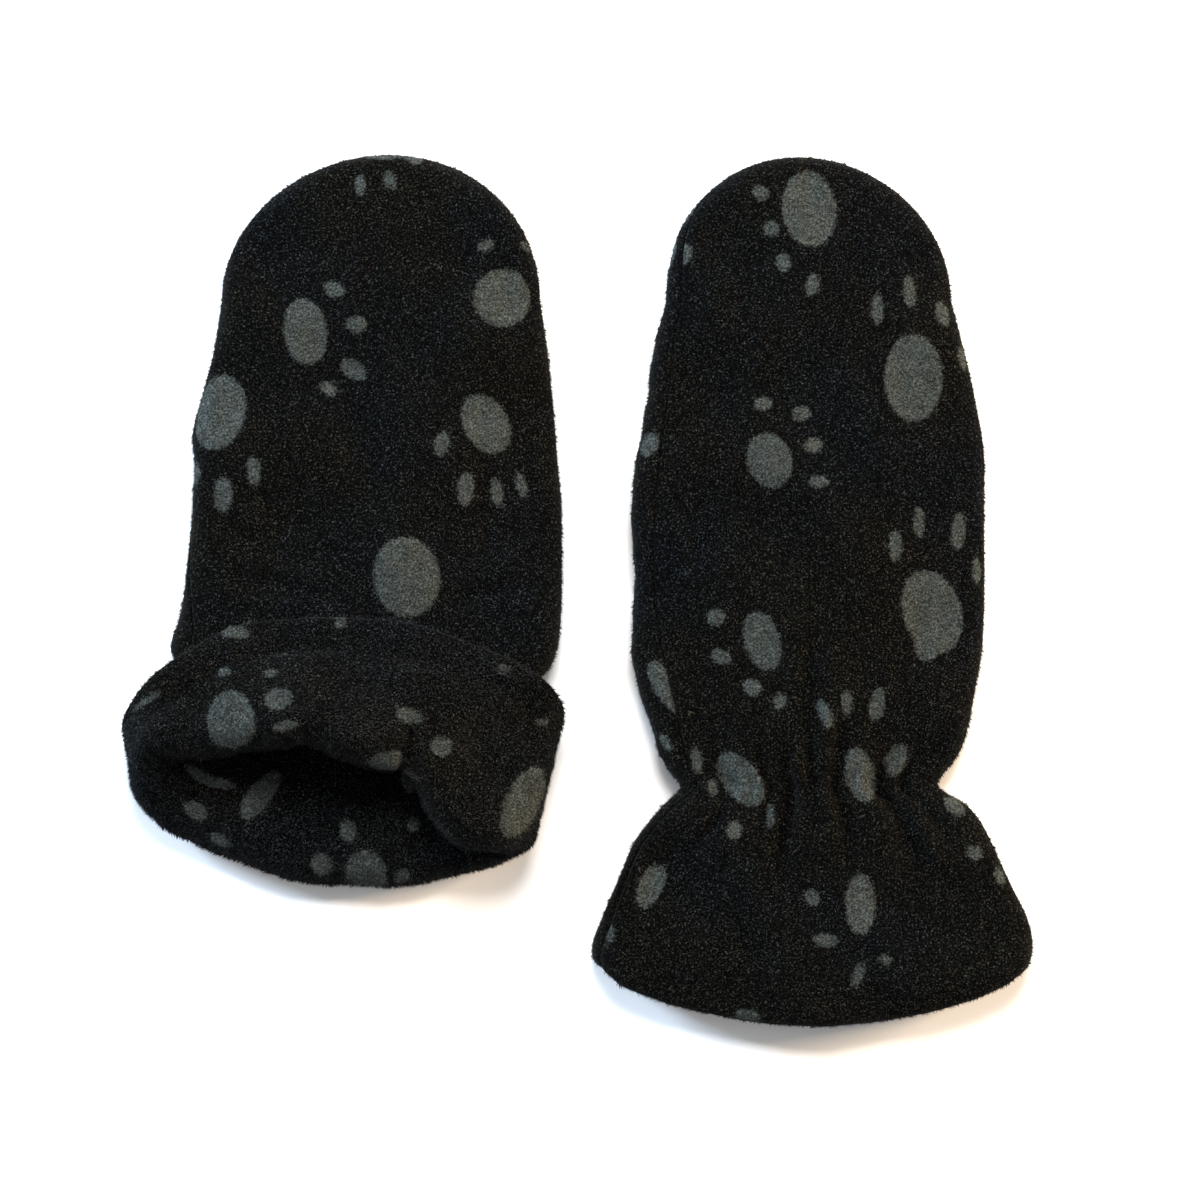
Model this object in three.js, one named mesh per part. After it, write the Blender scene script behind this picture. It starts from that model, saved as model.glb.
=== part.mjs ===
// A pair of thumbless baby mittens in fleece, laid on a flat surface with the tips towards +Y.
// The right one lies closed. The left one has its cuff turned back all round, lining side out.
// Millimetres, +Z up. Each panel is a wall with an outer and an inner skin of matching points.
import * as THREE from "three";
import { mergeVertices } from "three/addons/utils/BufferGeometryUtils.js";

// Thicknesses and gaps
const WALL = 4.0; // shell and lining of one panel, lying together
const PLY = 1.35; // one layer of fleece, stretched thinner where the cuff turns back
const GAP = 0.3; // between pieces at a seam
const CUFF_WALL = 3.0; // both layers and the gap between them at the turned cuff
const EDGE_RADIUS = 4.3; // round side of a laid mitten: two walls and half the slit between them
const QUARTER = (Math.PI / 2) * EDGE_RADIUS; // way round the edge, from its side to its top

// Places of the two wrists
const RIGHT_WRIST = { x: 45.0, y: -36.9 };
const LEFT_WRIST = { x: -44.0, y: -35.9 };

// Mesh density
const GATHERED_HALF = 18; // columns from the middle of the right front to its seam
const SMOOTH_HALF = 14; // the same on the left front
const BACK_HALF = 9;
const TIP_ROWS = 7; // rows that fan round the tip
const EDGE_CROWDING = 1.25; // above 1, columns stand closer near the seam
const BOW_POWER = 2.4; // how evenly a bowed row curves: 2 is a parabola, more is flatter in the middle
const SEAM_PULL = 8; // how close to a seam the columns make room for its gap
const NEARBY = 0.004; // step round the ring for reading its slope
const MITRE_LIMIT = 0.75; // a corner's cosine at most this small, so that no corner shoots out
const RING_LENGTH = 4; // of the places round a cuff: 2 for the front, 2 for the back

// Right mitten: one row for each section from the hem up to where the tip's arch starts.
// y above the wrist; left and right sides; crown: rise of the front's middle over its edge;
// bow: how far the middle of the row hangs below its ends, backBow: the same on the back where it
// differs, rise: way up round the left edge to the seam.
const RIGHT_SECTIONS = [
  { y: -35.6, left: -41.3, right: 42.5, crown: 1.1, bow: 10.9, backBow: 12.9, rise: 3.0 },
  { y: -31.5, left: -42.0, right: 43.5, crown: 1.3, bow: 9.2, backBow: 10.8, rise: 3.4 },
  { y: -26.0, left: -40.4, right: 42.7, crown: 1.6, bow: 7.0, backBow: 7.8, rise: 3.8 },
  { y: -19.5, left: -38.2, right: 39.6, crown: 1.9, bow: 4.6, backBow: 4.9, rise: 4.0 },
  { y: -12.5, left: -35.3, right: 36.3, crown: 2.2, bow: 2.4, rise: 4.0 },
  { y: -7.5, left: -31.8, right: 33.9, crown: 2.4, bow: 1.2, rise: 4.0 },
  { y: -3.4, left: -28.0, right: 30.6, crown: 2.5, bow: 0.4, rise: 4.2 },
  { y: 0.0, left: -24.6, right: 25.2, crown: 2.5, bow: 0, rise: 5.0 },
  { y: 2.9, left: -27.0, right: 26.6, crown: 2.5, bow: 0, rise: 6.6 },
  { y: 6.6, left: -29.4, right: 29.3, crown: 2.5, bow: 0, rise: 7.8 },
  { y: 11.5, left: -30.7, right: 31.0, crown: 2.5, bow: 0, rise: 8.0 },
  { y: 18.0, left: -32.2, right: 32.2, crown: 2.5, bow: 0, rise: 8.0 },
  { y: 25.5, left: -33.6, right: 33.6, crown: 2.5, bow: 0, rise: 7.8 },
  { y: 34.5, left: -34.5, right: 34.1, crown: 2.5, bow: 0, rise: 7.4 },
  { y: 44.0, left: -34.8, right: 34.2, crown: 2.4, bow: 0, rise: 7.0 },
  { y: 54.5, left: -34.3, right: 34.1, crown: 2.4, bow: 0, rise: 7.0 },
  { y: 65.0, left: -33.3, right: 34.1, crown: 2.3, bow: 0, rise: 7.0 },
  { y: 75.0, left: -32.0, right: 32.4, crown: 2.3, bow: 0, rise: 7.0 },
  { y: 84.5, left: -30.6, right: 30.2, crown: 2.2, bow: 0, rise: 6.6 },
  { y: 94.3, left: -28.3, right: 27.7, crown: 2.2, bow: 0, rise: 6.0 },
];
const RIGHT_TIP = { height: 28.1, power: 2.0, peak: -1.8 };

// Left mitten: the same, from above the wrist. The turned cuff pulls the wrist of its front up the hand.
const LEFT_SECTIONS = [
  { y: 9.6, left: -25.6, right: 27.6, crown: 2.0, bow: -5.6, backBow: 4.0, rise: 0.6 },
  { y: 13.4, left: -27.8, right: 30.8, crown: 2.2, bow: -4.4, backBow: 2.8, rise: 1.6 },
  { y: 17.6, left: -30.2, right: 34.2, crown: 2.4, bow: -3.0, backBow: 1.6, rise: 3.0 },
  { y: 22.0, left: -32.8, right: 38.8, crown: 2.5, bow: -1.6, backBow: 0.6, rise: 4.6 },
  { y: 26.6, left: -34.0, right: 40.4, crown: 2.5, bow: -0.5, backBow: 0, rise: 6.0 },
  { y: 32.0, left: -33.4, right: 41.0, crown: 2.5, bow: 0, backBow: 0, rise: 5.2 },
  { y: 39.0, left: -32.4, right: 41.2, crown: 2.5, bow: 0, backBow: 0, rise: 3.0 },
  { y: 47.0, left: -31.4, right: 41.2, crown: 2.5, bow: 0, backBow: 0, rise: 1.0 },
  { y: 55.0, left: -30.8, right: 41.0, crown: 2.4, bow: 0, backBow: 0, rise: 0 },
  { y: 61.5, left: -30.5, right: 40.4, crown: 2.4, bow: 0, backBow: 0, rise: 0 },
  { y: 67.5, left: -30.9, right: 40.0, crown: 2.4, bow: 0, backBow: 0, rise: 0 },
  { y: 75.0, left: -29.0, right: 39.3, crown: 2.3, bow: 0, backBow: 0, rise: 0 },
  { y: 83.5, left: -26.8, right: 38.4, crown: 2.3, bow: 0, backBow: 0, rise: 0 },
  { y: 93.3, left: -25.2, right: 37.0, crown: 2.2, bow: 0, backBow: 0, rise: 0 },
];
const LEFT_TIP = { height: 28.5, power: 2.0, peak: 1.6 };

// The left hand lies on the table above this line, and climbs on the turned-under cuff below it.
const LEFT_CLIMB = { from: 16, run: 12, height: WALL + 0.6 };

// Gathers that the hidden elastic draws at the right wrist, left to right across the front.
// at: place between the seams, -1 to 1; half: half its width in that measure; depth of the trough;
// up and down: how far it fades over the hand and over the cuff.
const GATHERS = [
  { at: -0.9, half: 0.09, depth: 1.3, up: 8, down: 12 },
  { at: -0.73, half: 0.1, depth: 1.4, up: 10, down: 19 },
  { at: -0.37, half: 0.09, depth: 1.3, up: 15, down: 12 },
  { at: -0.2, half: 0.11, depth: 2.3, up: 13, down: 27 },
  { at: 0.03, half: 0.05, depth: 0.9, up: 11, down: 12 },
  { at: 0.21, half: 0.11, depth: 2.0, up: 19, down: 22 },
  { at: 0.6, half: 0.14, depth: 2.4, up: 10, down: 27 },
  { at: 0.84, half: 0.1, depth: 1.3, up: 10, down: 20 },
];

// Long soft creases on the fronts: x at the middle of each, y from one end to the other,
// lean: sideways run per millimetre of y, half: half width, depth: below the cloth, or above if negative.
const RIGHT_CREASES = [
  { x: 0.2, from: -30, to: 58, lean: 0.02, half: 3.2, depth: 1.0 },
  { x: 3.6, from: -26, to: 40, lean: 0.0, half: 2.6, depth: -0.7 },
  { x: -22, from: 14, to: 44, lean: -0.16, half: 4.5, depth: 0.6 },
  { x: 20, from: 10, to: 40, lean: 0.14, half: 4.5, depth: 0.6 },
];
const LEFT_CREASES = [
  { x: 9.0, from: 34, to: 84, lean: 0.05, half: 6.0, depth: -0.7 },
  { x: -14, from: 36, to: 62, lean: -0.2, half: 5.0, depth: 0.6 },
  { x: 26, from: 34, to: 66, lean: 0.12, half: 5.0, depth: 0.6 },
];

// The left wrist, on the lining's face: x, y, z; out: the way out through the cloth, from +Z towards -X.
// at: place round the ring, -1 left seam, 0 middle of the front, 1 right seam, 2 middle of the back.
const WRIST = [
  { at: -1.0, x: -20.6, y: 6.4, z: 8.4, out: 90 },
  { at: -0.75, x: -17.6, y: 9.2, z: 7.4, out: 34 },
  { at: -0.4, x: -9.4, y: 12.0, z: 6.6, out: 8 },
  { at: 0.0, x: 0.6, y: 12.8, z: 6.4, out: 0 },
  { at: 0.4, x: 10.6, y: 12.0, z: 6.6, out: -8 },
  { at: 0.75, x: 18.8, y: 9.2, z: 8.8, out: -34 },
  { at: 1.0, x: 21.8, y: 6.0, z: 8.8, out: -90 },
  { at: 1.25, x: 18.8, y: 3.4, z: 8.0, out: -150 },
  { at: 1.6, x: 10.6, y: 1.8, z: 8.6, out: -176 },
  { at: 2.0, x: 0.6, y: 1.0, z: 8.6, out: -180 },
  { at: 2.4, x: -9.4, y: 1.8, z: 8.6, out: -184 },
  { at: 2.75, x: -17.6, y: 4.0, z: 8.5, out: -210 },
];

// The fold where the left cuff turns back, one row for each place round the mouth.
// x, y, z: the middle of the fold; roll: its radius; face: the way it points, from -Y towards -X;
// slack: how far short of taut the cloth leaves the fold, in degrees, so that it bulges.
const FOLD = [
  { at: -1.0, x: -38.8, y: 4.6, z: 9.8, roll: 4.2, face: 52, slack: 0 },
  { at: -0.88, x: -37.2, y: 9.4, z: 12.8, roll: 4.7, face: 34, slack: 2 },
  { at: -0.74, x: -32.6, y: 10.6, z: 14.4, roll: 5.0, face: 16, slack: 6 },
  { at: -0.5, x: -24.4, y: 10.2, z: 16.0, roll: 5.3, face: 4, slack: 12 },
  { at: -0.3, x: -17.0, y: 11.4, z: 17.8, roll: 5.4, face: -8, slack: 18 },
  { at: -0.08, x: -7.8, y: 13.0, z: 18.9, roll: 5.4, face: 0, slack: 22 },
  { at: 0.12, x: 1.0, y: 9.8, z: 18.8, roll: 5.4, face: 6, slack: 22 },
  { at: 0.28, x: 7.4, y: 7.6, z: 17.8, roll: 5.2, face: 0, slack: 20 },
  { at: 0.38, x: 12.0, y: 7.4, z: 16.9, roll: 5.0, face: 8, slack: 18 },
  { at: 0.5, x: 17.0, y: 2.6, z: 16.6, roll: 5.2, face: 36, slack: 14 },
  { at: 0.64, x: 20.6, y: -3.6, z: 16.0, roll: 5.2, face: 42, slack: 10 },
  { at: 0.78, x: 24.2, y: -7.8, z: 15.2, roll: 4.9, face: 24, slack: 6 },
  { at: 0.9, x: 29.6, y: -9.0, z: 13.6, roll: 4.4, face: -4, slack: 2 },
  { at: 1.0, x: 32.2, y: -9.6, z: 9.0, roll: 4.1, face: -26, slack: 0 },
  { at: 1.13, x: 29.4, y: -11.0, z: 4.4, roll: 4.2, face: -20, slack: 0 },
  { at: 1.4, x: 18.4, y: -14.5, z: 4.3, roll: 4.3, face: -8, slack: 0 },
  { at: 1.75, x: 5.0, y: -16.3, z: 4.3, roll: 4.3, face: 0, slack: 0 },
  { at: 2.2, x: -10.6, y: -14.8, z: 4.3, roll: 4.3, face: 6, slack: 0 },
  { at: 2.6, x: -26.8, y: -9.6, z: 4.3, roll: 4.3, face: 22, slack: 0 },
  { at: 2.86, x: -37.0, y: -2.4, z: 5.6, roll: 4.4, face: 56, slack: 0 },
];

// The hem of the turned cuff, at the outside of the cloth, on the same places round the ring.
// lie: the way the cloth arrives there, degrees below level.
const HEM = [
  { at: -1.0, x: -44.5, y: 11.0, z: 7.6, lie: 0 },
  { at: -0.88, x: -43.8, y: 14.6, z: 10.8, lie: 4 },
  { at: -0.72, x: -39.0, y: 20.2, z: 13.2, lie: 8 },
  { at: -0.5, x: -32.0, y: 25.6, z: 14.4, lie: 12 },
  { at: -0.3, x: -21.6, y: 30.8, z: 14.8, lie: 15 },
  { at: -0.08, x: -9.6, y: 32.4, z: 14.9, lie: 15 },
  { at: 0.12, x: 0.4, y: 32.5, z: 14.9, lie: 15 },
  { at: 0.28, x: 8.8, y: 31.9, z: 14.9, lie: 15 },
  { at: 0.38, x: 14.6, y: 30.5, z: 14.8, lie: 15 },
  { at: 0.5, x: 21.4, y: 28.6, z: 14.6, lie: 14 },
  { at: 0.64, x: 29.0, y: 25.6, z: 14.2, lie: 12 },
  { at: 0.78, x: 35.8, y: 21.8, z: 13.2, lie: 8 },
  { at: 0.9, x: 40.8, y: 17.2, z: 11.0, lie: 4 },
  { at: 1.0, x: 41.9, y: 13.4, z: 7.6, lie: 0 },
  { at: 1.13, x: 38.2, y: 9.8, z: 3.0, lie: 0 },
  { at: 1.4, x: 23.0, y: 2.4, z: 0, lie: 0 },
  { at: 1.75, x: 7.0, y: -0.4, z: 0, lie: 0 },
  { at: 2.2, x: -11.0, y: 0.2, z: 0, lie: 0 },
  { at: 2.6, x: -27.0, y: 3.0, z: 0, lie: 0 },
  { at: 2.86, x: -40.6, y: 8.8, z: 2.8, lie: 0 },
];
const LEG_STEPS = 4; // rows from the wrist to the fold
const ROLL_STEPS = 6; // rows round the fold
const RETURN_STEPS = 5; // rows from the fold to the hem

const fleeceShell = new THREE.MeshStandardMaterial({ color: 0x17181a, roughness: 1, metalness: 0 });
const fleeceLining = new THREE.MeshStandardMaterial({ color: 0x1c1d20, roughness: 1, metalness: 0 });

const lerp = THREE.MathUtils.lerp;
const radians = THREE.MathUtils.degToRad;
const smooth = (t) => THREE.MathUtils.smoothstep(t, 0, 1);
const point = (x, y, z) => new THREE.Vector3(x, y, z);

// A soft bump that is 1 at 0 and fades to 0 at 1 and beyond.
function hump(t) {
  const near = Math.min(1, Math.abs(t));
  return (1 - near * near) ** 2;
}

// Reads a table at any place between its rows, on a smooth curve through them.
function tableAt(table, at) {
  let i = 0;
  while (i < table.length - 2 && table[i + 1].at < at) i += 1;
  const [a, b] = [table[i], table[i + 1]];
  const before = table[Math.max(0, i - 1)];
  const after = table[Math.min(table.length - 1, i + 2)];
  const t = (at - a.at) / (b.at - a.at);
  const found = {};
  for (const key of Object.keys(a)) {
    const span = b.at - a.at;
    const slopeA = ((b[key] - before[key]) / (b.at - before.at)) * span;
    const slopeB = ((after[key] - a[key]) / (after.at - a.at)) * span;
    found[key] =
      a[key] * (1 + 2 * t) * (1 - t) ** 2 +
      slopeA * t * (1 - t) ** 2 +
      b[key] * t * t * (3 - 2 * t) +
      slopeB * t * t * (t - 1);
  }
  return found;
}

// Columns across a panel, from its left seam, -1, to its right seam, 1, closer near the seams.
function placesAcross(half) {
  const steps = Array.from({ length: half + 1 }, (_, k) => 1 - (1 - k / half) ** EDGE_CROWDING);
  return [...steps.slice(1).reverse().map((s) => -s), ...steps];
}
const GATHERED_FRONT = { places: placesAcross(GATHERED_HALF), isFront: true };
const FRONT = { places: placesAcross(SMOOTH_HALF), isFront: true };
const BACK = { places: placesAcross(BACK_HALF), isFront: false };

// The rows of a hand: its sections, then a fan of sections about one point that closes the tip.
// Each has its left and right side and the middle point that they run to.
function handRows(sections, tip) {
  const rows = sections.map((s) => {
    const middle = (s.left + s.right) / 2;
    return { ...s, middle: [middle, s.y], sides: [[s.left, s.y], [s.right, s.y]] };
  });
  const top = sections.at(-1);
  const middle = (top.left + top.right) / 2;
  const half = (top.right - top.left) / 2;
  for (let k = 1; k <= TIP_ROWS; k++) {
    const angle = (k / TIP_ROWS) * (Math.PI / 2);
    const across = Math.cos(angle) ** (2 / tip.power) * half;
    const up = Math.sin(angle) ** (2 / tip.power);
    const y = top.y + up * tip.height;
    const drift = tip.peak * up * up;
    const rise = top.rise * (1 - smooth(k / TIP_ROWS / 0.7));
    rows.push({
      ...top,
      rise,
      middle: [middle, top.y],
      sides: [[middle + drift - across, y], [middle + drift + across, y]],
    });
  }
  return rows;
}

// Height that a crease or gather takes off the front at a place on it.
function troughs(shape, x, y, at) {
  let depth = 0;
  for (const g of shape.gathers) {
    const reach = y > 0 ? y / g.up : -y / g.down;
    depth += g.depth * hump((at - g.at) / g.half) * (1 - smooth(reach));
  }
  for (const c of shape.creases) {
    const middle = (c.from + c.to) / 2;
    const along = (y - middle) / ((c.to - c.from) / 2);
    depth += c.depth * hump((x - c.x - c.lean * (y - middle)) / c.half) * hump(along);
  }
  return depth;
}

// A point of the hand's outer skin and the way into the wall there, at a place across a panel.
function handPoint(shape, row, at, isFront) {
  const side = at < 0 ? 0 : 1;
  const edge = row.sides[side];
  const out = [edge[0] - row.middle[0], edge[1] - row.middle[1]];
  const reach = Math.hypot(...out);
  const flat = reach - EDGE_RADIUS;
  const seam = side === 0 ? row.rise : 0;
  // The way round the section, from its side up and over, or down and under.
  const up = isFront ? 1 : -1;
  const way = lerp(up * (QUARTER + flat), seam, Math.abs(at));
  const turn = THREE.MathUtils.clamp(way / EDGE_RADIUS, -Math.PI / 2, Math.PI / 2);
  const past = Math.max(0, Math.abs(way) - QUARTER);
  const inset = EDGE_RADIUS * (1 - Math.cos(turn)) + past;
  const share = Math.min(1, inset / reach);
  const bow = isFront ? row.bow : row.backBow ?? row.bow;
  const x = lerp(edge[0], row.middle[0], share);
  const y = lerp(edge[1], row.middle[1], share) - bow * (1 - (1 - share) ** BOW_POWER);
  let z = EDGE_RADIUS * (1 + Math.sin(turn));
  let sunk = 0;
  if (way > QUARTER) {
    const over = past / flat;
    sunk = troughs(shape, x, y, side === 0 ? over - 1 : 1 - over) * smooth(over * 6);
    z += row.crown * Math.sin((over * Math.PI) / 2) - sunk;
  }
  if (shape.climb) z += shape.climb.height * smooth((shape.climb.from - y) / shape.climb.run);
  const plan = point(-out[0] / reach, -out[1] / reach, 0);
  const inward = plan.clone().multiplyScalar(Math.cos(turn)).setZ(-Math.sin(turn));
  // The edge of the panel stands half the gap back from the seam, through the whole wall.
  const back = plan.clone().multiplyScalar(Math.sin(turn)).setZ(Math.cos(turn));
  const outer = point(x, y, z).addScaledVector(back, (up * GAP * Math.abs(at) ** SEAM_PULL) / 2);
  return { outer, inward, sunk };
}

// The two skins of a hand panel. A trough on the outside shows only half as deep on the inside.
function handSkins(shape, panel) {
  const skins = { outer: [], inner: [] };
  for (const row of shape.rows) {
    const points = panel.places.map((at) => handPoint(shape, row, at, panel.isFront));
    skins.outer.push(points.map((p) => p.outer));
    skins.inner.push(
      points.map((p) => {
        const face = p.outer.clone().addScaledVector(p.inward, WALL);
        return face.setZ(face.z + p.sunk / 2);
      }),
    );
  }
  return skins;
}

// A point on a curve that leaves a in one direction and reaches b in another.
function bend(a, leave, b, arrive, t) {
  const pull = a.distanceTo(b) / 3;
  const curve = new THREE.CubicBezierCurve3(
    a,
    a.clone().addScaledVector(leave, pull),
    b.clone().addScaledVector(arrive, -pull),
    b,
  );
  return curve.getPoint(t);
}

// A ring's table with its last row repeated before it and its first two after it.
function closedRing(table) {
  const shifted = (row, rounds) => {
    const copy = { ...row, at: row.at + RING_LENGTH * rounds };
    if ("out" in copy) copy.out -= 360 * rounds;
    return copy;
  };
  return [shifted(table.at(-1), -1), ...table, shifted(table[0], 1), shifted(table[1], 1)];
}
const WRIST_RING = closedRing(WRIST);
const FOLD_RING = closedRing(FOLD);
const HEM_RING = closedRing(HEM);

// The wrist at a place round the ring, and the way out through the cloth of the hand.
function wristAt(at) {
  const ring = tableAt(WRIST_RING, at);
  const out = radians(ring.out);
  return { place: point(ring.x, ring.y, ring.z), outward: point(-Math.sin(out), 0, Math.cos(out)) };
}

// The middle of the fold at a place round the ring, its radius, and the level way that it faces.
function foldMiddle(at) {
  const { x, y, z, roll, face, slack } = tableAt(FOLD_RING, at);
  const ahead = point(-Math.sin(radians(face)), -Math.cos(radians(face)), 0);
  return { centre: point(x, y, z), ahead, roll, slack };
}

// The angle round the fold at which cloth that runs straight to a place touches it.
// side: -1 where the cloth comes from the wrist, 1 where it goes to the hem.
function tautAngle(place, { centre, ahead, turned, roll }, side) {
  const off = place.clone().sub(centre);
  const [a, t] = [off.dot(ahead), off.dot(turned)];
  const spread = Math.acos(Math.min(1, roll / Math.hypot(a, t)));
  const behind = (side * Math.atan2(t, a) + 2 * Math.PI) % (2 * Math.PI);
  return side * (behind - spread);
}

// The way onward round the ring at a place of a smooth ring of points.
const onwardOf = (pointAt, at) => pointAt(at + NEARBY).sub(pointAt(at - NEARBY)).normalize();

function hemPoint(at) {
  const { x, y, z } = tableAt(HEM_RING, at);
  return point(x, y, z);
}

// One place round the turned cuff: its wrist and hem, and the arc of the fold between them, which
// turns in the plane across the fold's own way round the mouth.
function cuffAt(at) {
  const wrist = wristAt(at);
  const end = hemPoint(at);
  const fold = foldMiddle(at);
  fold.onward = onwardOf((near) => foldMiddle(near).centre, at);
  fold.ahead.addScaledVector(fold.onward, -fold.ahead.dot(fold.onward)).normalize();
  fold.turned = fold.ahead.clone().cross(fold.onward);
  const start = tautAngle(wrist.place, fold, -1);
  const stop = tautAngle(end, fold, 1) - radians(fold.slack);
  const radial = (angle) =>
    fold.ahead.clone().multiplyScalar(Math.cos(angle)).addScaledVector(fold.turned, Math.sin(angle));
  const arc = Array.from({ length: ROLL_STEPS + 1 }, (_, k) => radial(lerp(start, stop, k / ROLL_STEPS)));
  const onFold = arc.map((way) => fold.centre.clone().addScaledVector(way, fold.roll));
  const lie = radians(tableAt(HEM_RING, at).lie);
  const arrive = end.clone().sub(onFold.at(-1)).setZ(0).normalize();
  arrive.multiplyScalar(Math.cos(lie)).setZ(-Math.sin(lie));
  return { wrist, fold, arc, onFold, leave: radial(stop + Math.PI / 2), end, arrive };
}

// One column of the turned cuff on the lining's face: from the wrist out, round the fold, back to the hem.
function cuffColumn({ wrist, onFold, leave, end, arrive }) {
  const column = [];
  for (let k = 0; k < LEG_STEPS; k++) column.push(wrist.place.clone().lerp(onFold[0], k / LEG_STEPS));
  column.push(...onFold);
  const from = onFold.at(-1);
  for (let k = 1; k <= RETURN_STEPS; k++) column.push(bend(from, leave, end, arrive, k / RETURN_STEPS));
  for (const p of column) p.setZ(Math.max(0, p.z)); // the table is at 0
  return column;
}

// The ways from the lining's face into the cloth down one column: mitred with the hand's at the wrist,
// towards the middle of the fold as far as it turns, and from there over to the way in at the hem.
function waysIn({ wrist, arc, arrive }, at, count) {
  const mitre = wrist.outward.clone().sub(arc[0]).normalize();
  mitre.divideScalar(Math.max(MITRE_LIMIT, mitre.dot(wrist.outward)));
  const hemWay = arrive.clone().cross(onwardOf(hemPoint, at)).normalize();
  const lastOfArc = arc.at(-1).clone().negate();
  const turnEnds = LEG_STEPS + ROLL_STEPS;
  return Array.from({ length: count }, (_, k) => {
    if (k === 0) return mitre;
    if (k <= turnEnds) return arc[Math.max(0, k - LEG_STEPS)].clone().negate();
    return lastOfArc.clone().lerp(hemWay, (k - turnEnds) / RETURN_STEPS).normalize();
  });
}

// The way round the ring down one column, along which a seam's two edges stand apart.
function waysRound({ fold }, at, count) {
  const atHem = onwardOf(hemPoint, at);
  const turnEnds = LEG_STEPS + ROLL_STEPS;
  return Array.from({ length: count }, (_, k) => {
    if (k === 0) return point(0, 0, Math.sign(fold.onward.z));
    return fold.onward.clone().lerp(atHem, Math.max(0, k - turnEnds) / RETURN_STEPS).normalize();
  });
}

// Rows from columns.
const rowsOf = (columns) => columns[0].map((_, i) => columns.map((c) => c[i]));

const movedIn = (grid, ways, depth) =>
  grid.map((row, i) => row.map((p, c) => p.clone().addScaledVector(ways[i][c], depth)));

// The lining's face over the turned cuff of one panel, and the way from it into the cloth.
function cuffFace(panel) {
  const columns = panel.places.map((place) => {
    const at = panel.isFront ? place : 2 - place;
    const cuff = cuffAt(at);
    const column = cuffColumn(cuff);
    const round = waysRound(cuff, at, column.length);
    const away = (panel.isFront ? -1 : 1) * Math.sign(place) * Math.abs(place) ** SEAM_PULL * (GAP / 2);
    column.forEach((p, k) => p.addScaledVector(round[k], away));
    return { column, ways: waysIn(cuff, at, column.length) };
  });
  return { face: rowsOf(columns.map((c) => c.column)), ways: rowsOf(columns.map((c) => c.ways)) };
}

// Triangles between two grids with the same rows and columns, closed round their borders.
// The upper skin is a front's outer one or a back's inner one. foldedTip: the last row lies on itself.
function closedWall({ outer, inner }, isFront, foldedTip) {
  const [upper, lower] = isFront ? [outer, inner] : [inner, outer];
  const corners = [];
  const quad = (a, b, c, d) => corners.push(a, b, c, a, c, d);
  const rows = upper.length;
  const columns = upper[0].length;
  for (let i = 0; i < rows - 1; i++) {
    for (let c = 0; c < columns - 1; c++) {
      quad(upper[i][c], upper[i][c + 1], upper[i + 1][c + 1], upper[i + 1][c]);
      quad(lower[i][c], lower[i + 1][c], lower[i + 1][c + 1], lower[i][c + 1]);
    }
    // At a seam the faces of both panels are cut along the same diagonals, so that they stay apart.
    for (const [one, other, c] of [[lower, upper, 0], [upper, lower, columns - 1]]) {
      const edge = [one[i][c], other[i][c], other[i + 1][c], one[i + 1][c]];
      quad(...(one === outer ? edge : [...edge.slice(1), edge[0]]));
    }
  }
  for (let c = 0; c < columns - 1; c++) {
    quad(lower[0][c], lower[0][c + 1], upper[0][c + 1], upper[0][c]);
    if (foldedTip) continue;
    const top = rows - 1;
    quad(upper[top][c], upper[top][c + 1], lower[top][c + 1], lower[top][c]);
  }
  return mergedSolid(corners);
}

// A geometry from triangle corners, with equal points joined and empty triangles left out.
function mergedSolid(corners) {
  const soup = new THREE.BufferGeometry();
  soup.setAttribute("position", new THREE.Float32BufferAttribute(corners.flatMap((p) => p.toArray()), 3));
  const merged = mergeVertices(soup, 2e-3);
  const index = merged.index.array;
  const kept = [];
  for (let i = 0; i < index.length; i += 3) {
    const [a, b, c] = [index[i], index[i + 1], index[i + 2]];
    if (a !== b && b !== c && c !== a) kept.push(a, b, c);
  }
  merged.setIndex(kept);
  merged.computeVertexNormals();
  return merged;
}

function piece(name, geometry, material) {
  const mesh = new THREE.Mesh(geometry, material);
  mesh.name = name;
  return mesh;
}

// The closed mitten: a front and a back panel, hem to tip.
function rightMitten() {
  const shape = { rows: handRows(RIGHT_SECTIONS, RIGHT_TIP), creases: RIGHT_CREASES, gathers: GATHERS };
  const front = handSkins(shape, GATHERED_FRONT);
  const back = handSkins(shape, BACK);
  const group = new THREE.Group();
  group.position.set(RIGHT_WRIST.x, RIGHT_WRIST.y, 0);
  group.add(
    piece("right_front", closedWall(front, true, true), fleeceShell),
    piece("right_back", closedWall(back, false, true), fleeceShell),
  );
  return group;
}

// A panel of the mitten with the turned cuff. The shell runs from the cuff's hem over the fold
// and the wrist to the tip. The lining is a piece of its own on the cuff, where it shows.
function turnedPanel(shape, panel) {
  const hand = handSkins(shape, panel);
  const { face, ways } = cuffFace(panel);
  const shell = {
    outer: [...movedIn(face, ways, CUFF_WALL).reverse(), ...hand.outer],
    inner: [...movedIn(face, ways, PLY + GAP).reverse(), ...hand.inner],
  };
  const start = face[0].map((p) => p.clone().setY(p.y - GAP));
  const liningFace = [start, ...face.slice(1)];
  const lining = {
    outer: movedIn(liningFace, ways, PLY).reverse(),
    inner: liningFace.reverse(),
  };
  return { shell, lining };
}

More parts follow.
